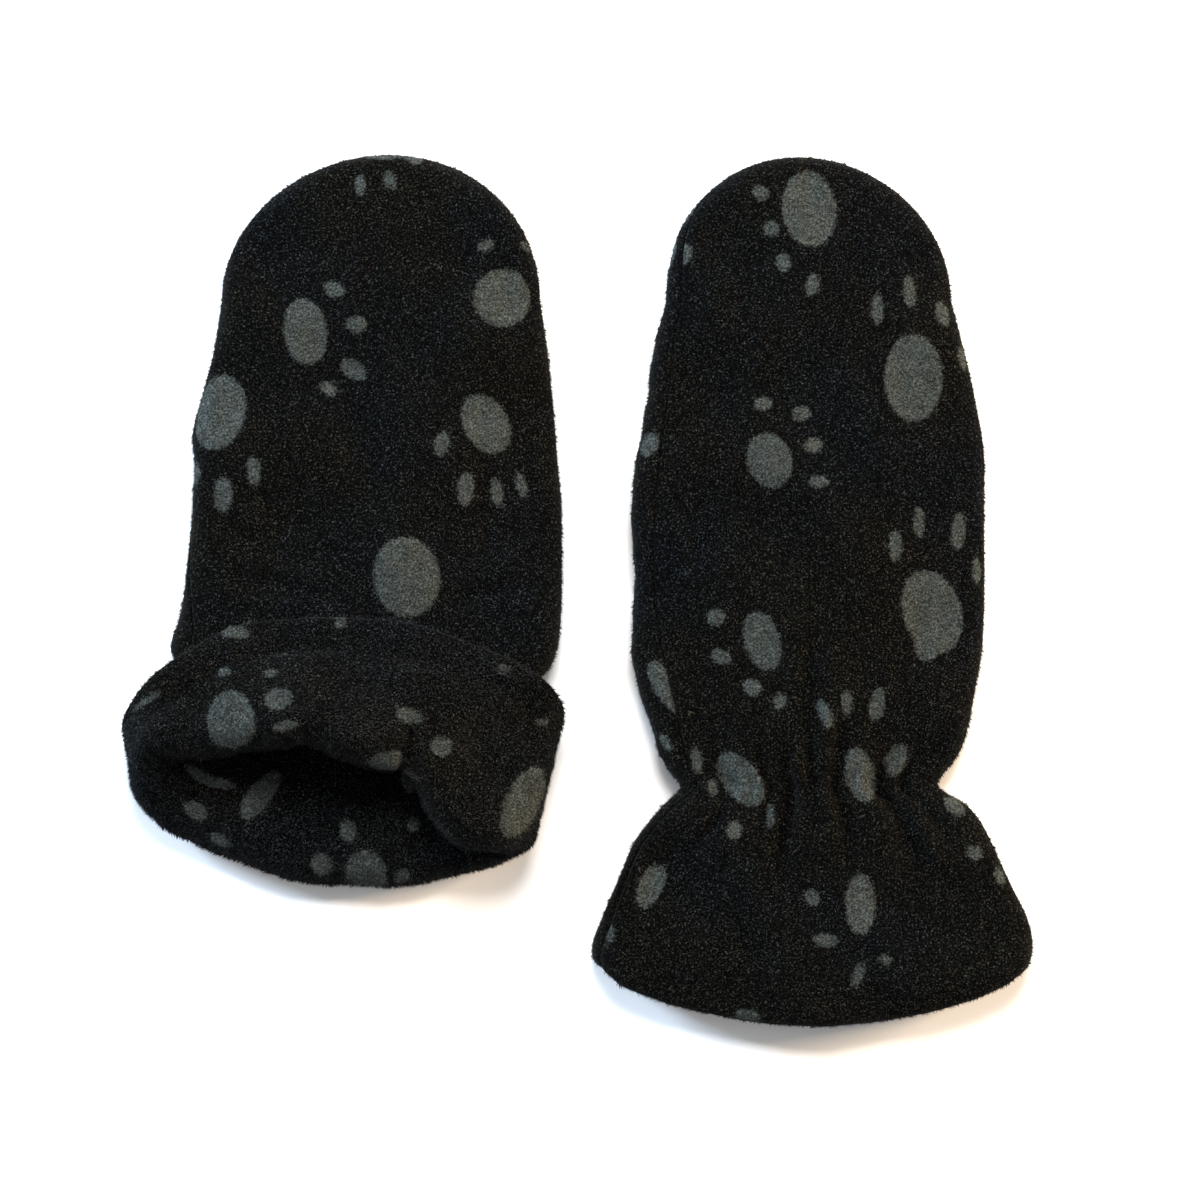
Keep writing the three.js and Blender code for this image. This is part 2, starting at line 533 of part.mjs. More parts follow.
function leftMitten() {
  const shape = {
    rows: handRows(LEFT_SECTIONS, LEFT_TIP),
    creases: LEFT_CREASES,
    gathers: [],
    climb: LEFT_CLIMB,
  };
  const front = turnedPanel(shape, FRONT);
  const back = turnedPanel(shape, BACK);
  const group = new THREE.Group();
  group.position.set(LEFT_WRIST.x, LEFT_WRIST.y, 0);
  group.add(
    piece("left_front", closedWall(front.shell, true, true), fleeceShell),
    piece("left_back", closedWall(back.shell, false, true), fleeceShell),
    piece("left_cuff_lining_front", closedWall(front.lining, true, false), fleeceLining),
    piece("left_cuff_lining_back", closedWall(back.lining, false, false), fleeceLining),
  );
  return group;
}

const pair = new THREE.Group();
pair.add(leftMitten(), rightMitten());
export default pair;
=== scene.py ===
"""A pair of thumbless baby mittens in black fleece with pale paw prints, laid flat on a pale floor.

The right one lies closed. The left one has its cuff turned back all round, lining side out.
Shapes are worked out in millimetres from the same sections as the frame's solids, on finer grids,
and turned into metres where each mesh is made. Each panel is a thin shell with a short pile on it.
"""
import math
import bmesh
import bpy
import numpy as np
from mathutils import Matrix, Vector


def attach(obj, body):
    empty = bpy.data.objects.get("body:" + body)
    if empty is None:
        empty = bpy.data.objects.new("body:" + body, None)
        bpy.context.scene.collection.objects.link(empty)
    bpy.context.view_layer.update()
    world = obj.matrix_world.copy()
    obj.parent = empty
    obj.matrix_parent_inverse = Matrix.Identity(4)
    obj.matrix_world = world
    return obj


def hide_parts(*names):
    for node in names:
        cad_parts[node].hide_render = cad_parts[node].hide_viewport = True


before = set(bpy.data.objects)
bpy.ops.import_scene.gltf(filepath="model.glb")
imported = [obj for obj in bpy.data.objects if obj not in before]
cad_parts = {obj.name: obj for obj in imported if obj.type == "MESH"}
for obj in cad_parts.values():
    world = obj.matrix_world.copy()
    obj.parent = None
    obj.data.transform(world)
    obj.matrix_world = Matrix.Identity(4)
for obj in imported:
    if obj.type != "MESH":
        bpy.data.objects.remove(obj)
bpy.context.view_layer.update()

MM = 0.001

# Thicknesses and gaps, in millimetres
WALL = 4.0  # shell and lining of one panel, lying together
PLY = 1.35  # one layer of fleece
GAP = 0.1  # between two panels at a seam, and between the two layers of the turned cuff
CUFF_WALL = 3.0  # both layers and the gap between them at the turned cuff
EDGE_RADIUS = 4.3  # round side of a laid mitten
QUARTER = math.pi / 2 * EDGE_RADIUS
NAP = 0.2  # how far the cloth lies inside the solid, where the pile stands
PILE_LENGTH = 0.6
LINING_PILE_LENGTH = 0.8
UNSEEN_PILE = 0.4  # how dense the pile is on the sides that lie on the floor
SEAM_DIP = 0.25  # how deep the cloth is drawn in at a seam
SEAM_WIDTH = 1.1  # how far from the seam the cloth starts to turn in
HEM_DEPTH = 6.0  # how far from the edge of the turned cuff its hem is sewn
HEM_SWELL = 0.8  # how far the doubled hem stands up
HEM_LINE = 0.5  # how deep the cloth is drawn in where the hem is sewn

# Places of the two wrists
RIGHT_WRIST = (45.0, -36.9)
LEFT_WRIST = (-44.0, -35.9)

# Mesh density
FRONT_HALF = 40  # columns from the middle of a front to its seam
BACK_HALF = 30
ROW_STEP = 1.1  # between rows up a hand
TIP_ROWS = 30  # rows that fan round the tip
LEG_ROWS = 16  # rows of the turned cuff from the wrist to the fold
ROLL_ROWS = 24  # rows round the fold
RETURN_ROWS = 24  # rows from the fold to the hem
HEM_ROWS = 5  # rows round a hem's edge
HEM_ROUND = 1.4  # how far the rounded edge of a hem reaches past its first row
BACK_HEM_ROUND = 2.4  # the same under the right front, whose hem it shows past
PILED_ROWS_INSIDE = 4  # rows of pile up the inside of the closed mitten's hem
PILED_ROWS_TURNED = 4  # rows of full pile on the shell where it shows past the turned hem
EDGE_CROWDING = 1.25  # how much closer the columns are near the seams
BOW_POWER = 2.4  # how soon a row's bow turns flat towards the middle
SEAM_PULL = 8  # how close to its seam a panel starts to draw back from it
NEARBY = 0.004  # the step round a ring over which its way onward is measured
MITRE_LIMIT = 0.75  # a mitred way is at most one over this long
RING_LENGTH = 4  # once round the ring of the turned cuff
JOIN_WITHIN = 2e-6  # points as close as this are one, in metres
NO_LENGTH = 1e-7  # edges as short as this are taken out, in metres

# Shapes of the cloth
TIP_RISE_ENDS = 0.7  # where the left seam's rise ends, as a share of the way round the tip
GATHERS_FADE = 6  # gathers are at full depth from one over this of the way in
CALM_BY_SEAM = 6.0  # the unevenness fades out within this of a seam, in millimetres
HEM_BULGE = 0.8  # how far a hem bulges, as a share of half its thickness
HEM_LINE_HALF = 0.4  # half width of the line where the hem is sewn, as a share of its depth
CUFF_HALF_WIDTH = 34.0  # from the middle of the turned cuff to its seam, near enough
CLOTH_LOWEST = 0.05  # nothing dips into the floor: cloth, roots of tufts and their tips stay above these
ROOT_LOWEST = 0.1
TIP_LOWEST = 0.02

# Tufts of the pile, as mean and spread or as least and most
RIGHT_FRONT_TUFTS = 44000
RIGHT_BACK_TUFTS = 20000
LEFT_FRONT_TUFTS = (32000, 25000)  # on the shell and on the lining
LEFT_BACK_TUFTS = (17000, 18000)
FACES_DOWN = -0.3  # a skin whose normal's z is below this counts as lying on the floor
HIDDEN_PILE = 0.12  # how dense the pile is between the turned cuff's shell and the hand
TUFT_LEAN = (48, 12)  # degrees away from upright
TUFT_STRAY = 0.5  # spread of the way it leans, in radians
TUFT_CLUMPING = 0.2  # how much its length changes from clump to clump
TUFT_LENGTH = (0.7, 1.3)  # as a share of the pile's length
TUFT_HALF_WIDTH = (0.07, 0.13)
TUFT_ROOT = 0.12  # how deep it starts in the cloth
TUFT_PRINT_STRAY = 0.35  # spread of a tuft's print depth, which makes the edges of prints fuzzy
TUFT_SHADE = (0.45, 0.3)
CLUMP_SHADE = 0.15
CLOTH_SHADE = 0.3
SPIKE = [[0, 1, 3], [1, 2, 3], [2, 0, 3], [0, 2, 1]]  # the sides and the foot of one tuft

# Seeds, so that every build draws the same
REPEAT_SEEDS = {"right_back": 12, "left_back": 13}
INSIDE_SEEDS = {"right_front": 21, "right_back": 22, "left_front": 23, "left_back": 24}
PILE_SEEDS = {
    "right_front": 31, "right_back": 32, "left_front": 33, "left_back": 34,
    "left_cuff_lining_front": 35, "left_cuff_lining_back": 36,
}

# Colours of the fleece: its ground, flecks and prints, and a bluish and a warm tint that the flecks take
# in broad patches, which is painted sheen of the cool and the warm lamp
GROUND = (0.0002, 0.0002, 0.0002)
SHELL_FLECKS = (0.034, 0.035, 0.032)
SHELL_PRINT = (0.035, 0.04, 0.037)
LINING_FLECKS = (0.042, 0.042, 0.037)
LINING_PRINT = (0.036, 0.041, 0.038)
COOL_SHEEN_TINT = (0.8, 1.0, 1.3)
WARM_SHEEN_TINT = (1.06, 1.0, 0.8)

# Grain of the fleece. Scales are in cells a metre, and a pair is where a ramp starts and ends.
GRAIN_SCALE = 2800
FUZZ_SCALE = 1500
BUMP_SCALE = 1800
# size of the broad patches of painted cool and warm sheen on the flecks
SHEEN_PATCH_SCALE = 30
FUZZ = 1.6  # how ragged the edge of a print is, in millimetres
PRINT_EDGE = 0.45  # half width of that edge's fade, in millimetres
SHADE_SHARE = 0.22  # how much a tuft's own shade counts in the grain
FLECK_RAMP = (0.53, 0.88)
FLECK_POWER = 2.0
# where the flecks turn from the painted cool sheen to the painted warm sheen
SHEEN_PATCH_RAMP = (0.35, 0.65)
WORN_RAMP = (0.35, 0.95)
WORN_TONES = (0.3, 2.0)  # darkest and lightest of a print, as shares of its colour

# Camera and floor, in metres
VIEW_CENTRE = (0.00436, -0.00066)
VIEW_WIDTH = 0.2323  # at the height of VIEW_LEVEL
VIEW_LEVEL = 0.008
CAMERA_HEIGHT = 1.6
SENSOR_WIDTH = 36  # in millimetres
FLOOR_HALF = 1.5


def table(columns, *rows):
    """A table as one array for each named column."""
    return {name: np.array([row[k] for row in rows], float) for k, name in enumerate(columns.split())}


# The right mitten's sections, as in the solids: y above the wrist, left and right sides, rise of the
# middle, bow of the row on the front and on the back, rise of the left seam round the edge.
RIGHT_SECTIONS = table(
    "y left right crown bow back_bow rise",
    (-35.6, -41.3, 42.5, 1.1, 10.9, 12.9, 3.0),
    (-31.5, -42.0, 43.5, 1.3, 9.2, 10.8, 3.4),
    (-26.0, -40.4, 42.7, 1.6, 7.0, 7.8, 3.8),
    (-19.5, -38.2, 39.6, 1.9, 4.6, 4.9, 4.0),
    (-12.5, -35.3, 36.3, 2.2, 2.4, 2.4, 4.0),
    (-7.5, -31.8, 33.9, 2.4, 1.2, 1.2, 4.0),
    (-3.4, -28.0, 30.6, 2.5, 0.4, 0.4, 4.2),
    (0.0, -24.6, 25.2, 2.5, 0, 0, 5.0),
    (2.9, -27.0, 26.6, 2.5, 0, 0, 6.6),
    (6.6, -29.4, 29.3, 2.5, 0, 0, 7.8),
    (11.5, -30.7, 31.0, 2.5, 0, 0, 8.0),
    (18.0, -32.2, 32.2, 2.5, 0, 0, 8.0),
    (25.5, -33.6, 33.6, 2.5, 0, 0, 7.8),
    (34.5, -34.5, 34.1, 2.5, 0, 0, 7.4),
    (44.0, -34.8, 34.2, 2.4, 0, 0, 7.0),
    (54.5, -34.3, 34.1, 2.4, 0, 0, 7.0),
    (65.0, -33.3, 34.1, 2.3, 0, 0, 7.0),
    (75.0, -32.0, 32.4, 2.3, 0, 0, 7.0),
    (84.5, -30.6, 30.2, 2.2, 0, 0, 6.6),
    (94.3, -28.3, 27.7, 2.2, 0, 0, 6.0),
)
RIGHT_TIP = {"height": 28.1, "power": 2.0, "peak": -1.8}

LEFT_SECTIONS = table(
    "y left right crown bow back_bow rise",
    (9.6, -25.6, 27.6, 2.0, -5.6, 4.0, 0.6),
    (13.4, -27.8, 30.8, 2.2, -4.4, 2.8, 1.6),
    (17.6, -30.2, 34.2, 2.4, -3.0, 1.6, 3.0),
    (22.0, -32.8, 38.8, 2.5, -1.6, 0.6, 4.6),
    (26.6, -34.0, 40.4, 2.5, -0.5, 0, 6.0),
    (32.0, -33.4, 41.0, 2.5, 0, 0, 5.2),
    (39.0, -32.4, 41.2, 2.5, 0, 0, 3.0),
    (47.0, -31.4, 41.2, 2.5, 0, 0, 1.0),
    (55.0, -30.8, 41.0, 2.4, 0, 0, 0),
    (61.5, -30.5, 40.4, 2.4, 0, 0, 0),
    (67.5, -30.9, 40.0, 2.4, 0, 0, 0),
    (75.0, -29.0, 39.3, 2.3, 0, 0, 0),
    (83.5, -26.8, 38.4, 2.3, 0, 0, 0),
    (93.3, -25.2, 37.0, 2.2, 0, 0, 0),
)
LEFT_TIP = {"height": 28.5, "power": 2.0, "peak": 1.6}
# The left hand rises towards the wrist, over the part of its back that is turned under it.
LEFT_CLIMB = {"from": 16, "run": 12, "height": WALL + 0.6}

# Gathers that the hidden elastic draws at the right wrist: place between the seams, half width,
# depth, and how far each fades up the hand and down the cuff.
GATHERS = table(
    "at half depth up down",
    (-0.9, 0.09, 1.3, 8, 12),
    (-0.73, 0.1, 1.4, 10, 19),
    (-0.37, 0.09, 1.3, 15, 12),
    (-0.2, 0.11, 2.3, 13, 27),
    (0.03, 0.05, 0.9, 11, 12),
    (0.21, 0.11, 2.0, 19, 22),
    (0.6, 0.14, 2.4, 10, 27),
    (0.84, 0.1, 1.3, 10, 20),
)
# Smaller puckers between them, that only show from near.
PUCKERS = table(
    "at half depth up down",
    (-0.81, 0.05, 0.5, 6, 8),
    (-0.55, 0.05, 0.4, 8, 9),
    (-0.29, 0.045, 0.6, 6, 10),
    (0.12, 0.045, 0.6, 9, 7),
    (0.38, 0.05, 0.4, 8, 9),
    (0.73, 0.05, 0.6, 6, 9),
)

# Long soft creases: x at the middle, y from one end to the other, sideways lean, half width, depth.
RIGHT_CREASES = table(
    "x start end lean half depth",
    (0.2, -30, 58, 0.02, 3.2, 1.0),
    (3.6, -26, 40, 0.0, 2.6, -0.7),
    (-22, 14, 44, -0.16, 4.5, 0.6),
    (20, 10, 40, 0.14, 4.5, 0.6),
)
LEFT_CREASES = table(
    "x start end lean half depth",
    (9.0, 34, 84, 0.05, 6.0, -0.7),
    (-14, 36, 62, -0.2, 5.0, 0.6),
    (26, 34, 66, 0.12, 5.0, 0.6),
)

# Soft dents of the cloth, ridges where the depth is below 0: middle, half length, half width,
# turn of the long way from up to the left, depth.
DENT_COLUMNS = "x y long half turn depth"
CUFF_FRONT_DENTS = table(
    DENT_COLUMNS,
    (11.6, 6.6, 8.0, 1.3, -12, 1.5),
    (8.4, 5.4, 6.0, 2.4, 6, -0.7),
    (15.2, 4.6, 7.0, 2.6, -24, -0.6),
    (4.0, 19.0, 17.0, 4.5, 78, 0.8),
    (-30.0, 15.0, 9.0, 4.0, -40, 0.8),
    (27.0, 6.0, 12.0, 3.6, 24, 0.9),
    (-18.0, 8.0, 6.0, 1.8, -30, 0.6),
    (-5.0, 9.0, 6.0, 1.8, 14, 0.5),
)
CUFF_BACK_DENTS = table(
    DENT_COLUMNS,
    (-32.5, -4.8, 6.0, 1.4, 90, 0.7),
    (-6.0, -1.0, 9.0, 18.0, 0, 1.2),
    (-22.0, -3.0, 9.0, 2.6, -28, 0.7),
    (4.0, -7.0, 8.0, 2.8, 12, 0.6),
    (14.0, -8.0, 10.0, 3.0, 34, 0.9),
)
LEFT_HAND_DENTS = table(
    DENT_COLUMNS,
    (-14.0, 38.0, 15.0, 3.0, 78, 0.9),
    (-20.0, 47.0, 14.0, 4.0, 64, 0.6),
    (24.0, 36.5, 12.0, 3.0, -80, 0.8),
    (2.0, 66.0, 22.0, 6.0, 14, 0.7),
    (16.0, 90.0, 18.0, 6.0, -20, 0.6),
    (-16.0, 98.0, 14.0, 5.0, 30, 0.6),
)
RIGHT_HAND_DENTS = table(
    DENT_COLUMNS,
    (-26.0, -13.0, 14.0, 3.4, -56, 0.8),
    (24.0, -16.0, 14.0, 3.4, 48, 0.8),
    (-12.0, -30.0, 12.0, 4.0, 20, 0.7),
    (20.0, 62.0, 18.0, 6.0, 10, 0.7),
    (-14.0, 88.0, 20.0, 6.0, -12, 0.7),
    (10.0, 100.0, 16.0, 5.0, 24, 0.6),
    (-22.0, 52.0, 16.0, 5.0, 6, 0.6),
)
BACK_DENTS = table(
    DENT_COLUMNS,
    (0.0, 30.0, 30.0, 6.0, 4, 0.5),
    (-14.0, 70.0, 20.0, 6.0, 24, 0.5),
    (16.0, 84.0, 18.0, 6.0, -20, 0.5),
)

# The left wrist on the lining's face, with the way out through the cloth, round the ring:
# at is -1 at the left seam, 0 in the middle of the front, 1 at the right seam, 2 at the back.
WRIST = table(
    "at x y z out",
    (-1.0, -20.6, 6.4, 8.4, 90),
    (-0.75, -17.6, 9.2, 7.4, 34),
    (-0.4, -9.4, 12.0, 6.6, 8),
    (0.0, 0.6, 12.8, 6.4, 0),
    (0.4, 10.6, 12.0, 6.6, -8),
    (0.75, 18.8, 9.2, 8.8, -34),
    (1.0, 21.8, 6.0, 8.8, -90),
    (1.25, 18.8, 3.4, 8.0, -150),
    (1.6, 10.6, 1.8, 8.6, -176),
    (2.0, 0.6, 1.0, 8.6, -180),
    (2.4, -9.4, 1.8, 8.6, -184),
    (2.75, -17.6, 4.0, 8.5, -210),
)
# The fold where the left cuff turns back: its middle, radius, the way it faces, and its slack.
FOLD = table(
    "at x y z roll face slack",
    (-1.0, -38.8, 4.6, 9.8, 4.2, 52, 0),
    (-0.88, -37.2, 9.4, 12.8, 4.7, 34, 2),
    (-0.74, -32.6, 10.6, 14.4, 5.0, 16, 6),
    (-0.5, -24.4, 10.2, 16.0, 5.3, 4, 12),
    (-0.3, -17.0, 11.4, 17.8, 5.4, -8, 18),
    (-0.08, -7.8, 13.0, 18.9, 5.4, 0, 22),
    (0.12, 1.0, 9.8, 18.8, 5.4, 6, 22),
    (0.28, 7.4, 7.6, 17.8, 5.2, 0, 20),
    (0.38, 12.0, 7.4, 16.9, 5.0, 8, 18),
    (0.5, 17.0, 2.6, 16.6, 5.2, 36, 14),
    (0.64, 20.6, -3.6, 16.0, 5.2, 42, 10),
    (0.78, 24.2, -7.8, 15.2, 4.9, 24, 6),
    (0.9, 29.6, -9.0, 13.6, 4.4, -4, 2),
    (1.0, 32.2, -9.6, 9.0, 4.1, -26, 0),
    (1.13, 29.4, -11.0, 4.4, 4.2, -20, 0),
    (1.4, 18.4, -14.5, 4.3, 4.3, -8, 0),
    (1.75, 5.0, -16.3, 4.3, 4.3, 0, 0),
    (2.2, -10.6, -14.8, 4.3, 4.3, 6, 0),
    (2.6, -26.8, -9.6, 4.3, 4.3, 22, 0),
    (2.86, -37.0, -2.4, 5.6, 4.4, 56, 0),
)
# The hem of the turned cuff, at the outside of the cloth, and how steeply the cloth arrives there.
HEM = table(
    "at x y z lie",
    (-1.0, -44.5, 11.0, 7.6, 0),
    (-0.88, -43.8, 14.6, 10.8, 4),
    (-0.72, -39.0, 20.2, 13.2, 8),
    (-0.5, -32.0, 25.6, 14.4, 12),
    (-0.3, -21.6, 30.8, 14.8, 15),
    (-0.08, -9.6, 32.4, 14.9, 15),
    (0.12, 0.4, 32.5, 14.9, 15),
    (0.28, 8.8, 31.9, 14.9, 15),
    (0.38, 14.6, 30.5, 14.8, 15),
    (0.5, 21.4, 28.6, 14.6, 14),
    (0.64, 29.0, 25.6, 14.2, 12),
    (0.78, 35.8, 21.8, 13.2, 8),
    (0.9, 40.8, 17.2, 11.0, 4),
    (1.0, 41.9, 13.4, 7.6, 0),
    (1.13, 38.2, 9.8, 3.0, 0),
    (1.4, 23.0, 2.4, 0, 0),
    (1.75, 7.0, -0.4, 0, 0),
    (2.2, -11.0, 0.2, 0, 0),
    (2.6, -27.0, 3.0, 0, 0),
    (2.86, -40.6, 8.8, 2.8, 0),
)

# Paw prints, charted: pads and toes as ovals, with x and y of the middle from the wrist,
# width, height and turn to the left in degrees. Places are measured along the cloth.
PRINT_COLUMNS = "x y wide tall turn"
LEFT_HAND_PRINTS = table(
    PRINT_COLUMNS,
    (-8.6, 87.1, 8.3, 12.8, 8), (-3.1, 95.3, 4.2, 2.8, -20), (1.3, 88.5, 4.0, 3.2, 0),
    (0.7, 79.8, 5.6, 3.4, -35), (-4.1, 76.1, 3.6, 2.3, -30),
    (29.6, 93.7, 11.4, 11.0, 20), (26.3, 103.8, 3.2, 1.9, 20), (34.6, 104.0, 3.0, 2.0, 0),
    (-25.6, 71.6, 10.6, 14.7, -12), (-18.6, 60.2, 2.5, 5.8, 5), (-24.6, 55.6, 3.7, 6.6, -5),
    (-30.6, 59.8, 2.6, 4.2, 0),
    (26.3, 69.3, 8.6, 12.2, 30), (17.8, 65.4, 2.7, 5.0, -12), (22.4, 56.7, 3.0, 6.6, -5),
    (28.4, 56.0, 2.2, 5.6, 5), (33.1, 57.5, 1.9, 5.2, 16),
    (11.0, 39.7, 12.8, 15.5, 6),
    (6.1, 123.0, 7.4, 4.0, 4), (12.6, 121.8, 4.0, 3.4, -30), (1.9, 115.6, 1.9, 4.2, 6),
    (7.7, 116.4, 2.2, 3.9, 12),
)
LEFT_CUFF_PRINTS = table(
    PRINT_COLUMNS,
    (-22.5, 12.0, 9.3, 12.8, 6), (-13.4, 16.5, 5.4, 4.6, 20), (-12.1, 11.0, 4.8, 2.0, 10),
    (-14.8, 22.1, 2.7, 1.9, 0), (-21.9, 30.8, 5.6, 2.2, -4), (-24.0, 22.6, 2.4, 2.2, 0),
    (-39.0, 18.8, 2.2, 5.8, -60), (-43.6, 6.0, 2.4, 4.0, 0), (-1.6, 33.0, 2.4, 1.8, 0),
    (11.8, 13.2, 5.6, 2.8, -12), (18.0, 8.1, 3.8, 4.6, -30), (29.6, 25.0, 2.4, 1.8, 0),
    (7.7, 3.6, 7.4, 5.2, 20), (37.7, 13.6, 2.2, 2.0, 0), (33.6, -3.4, 6.8, 15.4, -24),
    (12.0, -1.4, 2.8, 2.4, 0),
)
LEFT_MOUTH_PRINTS = table(
    PRINT_COLUMNS,
    (-27.0, 0.6, 9.6, 3.2, -6), (-17.4, -1.9, 4.6, 13.6, -28), (-29.9, -8.3, 4.6, 4.2, 20),
    (-25.2, -13.7, 4.0, 2.8, -20), (-0.4, -9.5, 3.1, 4.6, 10), (-5.5, -16.5, 3.9, 5.0, 10),
    (3.0, -18.4, 8.0, 10.4, 0), (12.3, -8.3, 2.4, 2.4, 0), (11.4, 0.8, 3.2, 5.6, 4),
    (10.0, -18.8, 2.6, 4.0, -20),
)
RIGHT_PRINTS = table(
    PRINT_COLUMNS,
    (-0.2, 111.9, 10.4, 14.7, 8), (-9.5, 115.0, 3.4, 2.7, -30), (-7.5, 108.1, 2.9, 3.1, 0),
    (-5.2, 101.5, 2.7, 3.6, 0), (0.4, 97.2, 2.5, 4.2, -12),
    (-24.6, 103.2, 3.4, 4.2, -15),
    (20.0, 79.2, 11.2, 16.8, 0), (13.0, 92.6, 2.3, 5.8, 0), (19.2, 95.9, 2.3, 6.2, 6),
    (25.8, 91.6, 2.9, 4.8, 15), (30.0, 83.1, 2.6, 4.6, 10),
    (-7.9, 63.2, 8.6, 10.8, 18), (-9.1, 74.2, 3.6, 2.6, 10), (-1.7, 72.4, 3.8, 2.6, 12),
    (0.6, 66.1, 3.8, 2.8, 20), (1.6, 59.1, 4.0, 2.4, 0),
    (23.6, 33.9, 11.2, 16.4, 18), (22.6, 27.0, 4.6, 5.0, 0),
    (16.5, 46.7, 2.3, 6.0, 0), (21.1, 51.3, 2.0, 5.8, 0),
    (28.7, 49.6, 2.7, 7.2, -5), (32.8, 41.9, 2.2, 5.2, 0),
    (-9.3, 28.3, 6.8, 11.6, 16), (-18.2, 32.9, 3.6, 3.1, 0), (-17.2, 25.2, 3.9, 2.7, -20),
    (-11.2, 19.4, 3.7, 3.1, 0), (-5.8, 16.7, 2.3, 3.3, -20),
    (-13.5, 1.6, 6.8, 12.0, 38), (-18.8, 0.0, 1.9, 3.1, 0), (-14.7, -8.3, 3.1, 3.5, 0),
    (-7.7, -5.6, 1.3, 4.6, 0), (-22.0, 5.2, 1.9, 5.2, 10), (-29.8, 17.6, 3.4, 9.0, -8),
    (9.7, 2.4, 5.4, 10.8, 14), (2.9, 14.2, 2.3, 5.8, 18), (7.0, 16.3, 1.9, 5.2, 0),
    (13.0, 16.1, 2.8, 6.6, -10), (16.7, 5.3, 3.9, 6.4, -20),
    (-30.8, -19.1, 4.6, 9.0, -24), (0.4, -21.3, 2.9, 3.1, 0), (9.7, -22.6, 5.6, 11.8, 0),
    (3.1, -29.6, 5.2, 2.5, -6), (14.5, -33.3, 2.6, 2.0, 0), (9.3, -36.2, 1.9, 6.0, -22),
    (28.5, -3.6, 4.6, 3.8, -20), (31.8, -12.7, 3.3, 2.7, -20), (37.4, -17.2, 2.7, 3.6, 20),
    (-12.4, -44.8, 6.0, 3.4, 0), (-38.9, -28.4, 2.2, 3.0, 0),
)
# The right back's prints that show past the left edge, where it comes up round it.
RIGHT_STRIP_PRINTS = table(
    PRINT_COLUMNS,
    (-39.8, 66.3, 4.6, 4.6, 0), (-42.2, 19.0, 5.4, 11.0, -12), (-36.8, 8.6, 2.4, 3.4, 0),
)
# One whole paw for the sides that the photograph doesn't show: its pad, then four toes.
PLAIN_PAW = table(
    PRINT_COLUMNS,
    (0, 0, 9.6, 12.8, 0), (-8.0, 8.6, 3.0, 4.6, 25), (-2.9, 12.2, 2.8, 5.4, 6),
    (3.1, 12.2, 2.8, 5.4, -6), (8.1, 8.4, 3.0, 4.6, -25),
)
PAW_SPACING = (27.0, 24.8)  # across and along between neighbours of the repeat
PAW_STRAY = 3.0  # how far a paw strays from its place
PAW_SIZES = (0.8, 1.05)
PAW_ROWS = range(-3, 6)
PAW_COLUMNS = range(-2, 3)
EVERYWHERE = 99.0
# The repeat on a back ends this far from the middle, so that it stays off the long edges.
BACK_PRINTS_WITHIN = 29.0
WRIST_DRAWS_IN = 12.0  # how much closer to the middle it ends at the wrist
WRIST_REACH = 18.0  # how far up and down from the wrist it is drawn in
DEEP_INSIDE = 30.0  # how far above the wrist the repeat starts inside a mitten
NO_PRINT = -20.0  # the print depth of plain cloth


def smooth(t):
    """0 below 0, 1 above 1, and a soft step between."""
    t = np.clip(t, 0, 1)
    return t * t * (3 - 2 * t)


def hump(t):
    """A soft bump that is 1 at 0 and fades to 0 at 1 and beyond."""
    return (1 - np.minimum(1, np.abs(t)) ** 2) ** 2


def lerp(a, b, t):
    return a + (b - a) * t


def unit(v):
    """The vectors of an array, each made one long."""
    return v / np.maximum(np.linalg.norm(v, axis=-1, keepdims=True), 1e-9)


def read(rows, axis, key, at):
    """One column of a table at any places between its rows, on a smooth curve through them."""
    x, f = rows[axis], rows[key]
    i = np.clip(np.searchsorted(x, at, side="left") - 1, 0, len(x) - 2)
    before = np.maximum(i - 1, 0)
    after = np.minimum(i + 2, len(x) - 1)
    span = x[i + 1] - x[i]
    t = (at - x[i]) / span
    slope_a = (f[i + 1] - f[before]) / (x[i + 1] - x[before]) * span
    slope_b = (f[after] - f[i]) / (x[after] - x[i]) * span
    return (
        f[i] * (1 + 2 * t) * (1 - t) ** 2
        + slope_a * t * (1 - t) ** 2
        + f[i + 1] * t * t * (3 - 2 * t)
        + slope_b * t * t * (t - 1)
    )


def places_across(half):
    """Columns across a panel, from its left seam, -1, to its right seam, 1, closer near the seams."""
    steps = 1 - (1 - np.arange(half + 1) / half) ** EDGE_CROWDING
    return np.concatenate([-steps[:0:-1], steps])


class Waves:
    """A gentle unevenness of cloth: the sum of a few waves in fixed, seeded directions."""

    def __init__(self, seed, shortest, longest, height, count=9):
        draw = np.random.default_rng(seed)
        turn = draw.uniform(0, 2 * math.pi, count)
        length = draw.uniform(shortest, longest, count)
        self.ways = np.stack([np.cos(turn), np.sin(turn), 0.5 * np.sin(3 * turn)]) * 2 * math.pi / length
        self.phases = draw.uniform(0, 2 * math.pi, count)
        self.height = height / math.sqrt(count / 2)

    def at(self, points):
        return np.sin(points @ self.ways + self.phases).sum(axis=-1) * self.height


SLACK_WAVES = Waves(seed=3, shortest=14, longest=40, height=0.42)
DIMPLE_WAVES = Waves(seed=5, shortest=4, longest=9, height=0.09, count=14)
NAP_WAVES = Waves(seed=7, shortest=9, longest=30, height=0.9)
TUFT_WAVES = Waves(seed=11, shortest=2.0, longest=4.5, height=0.7, count=12)


# The hands

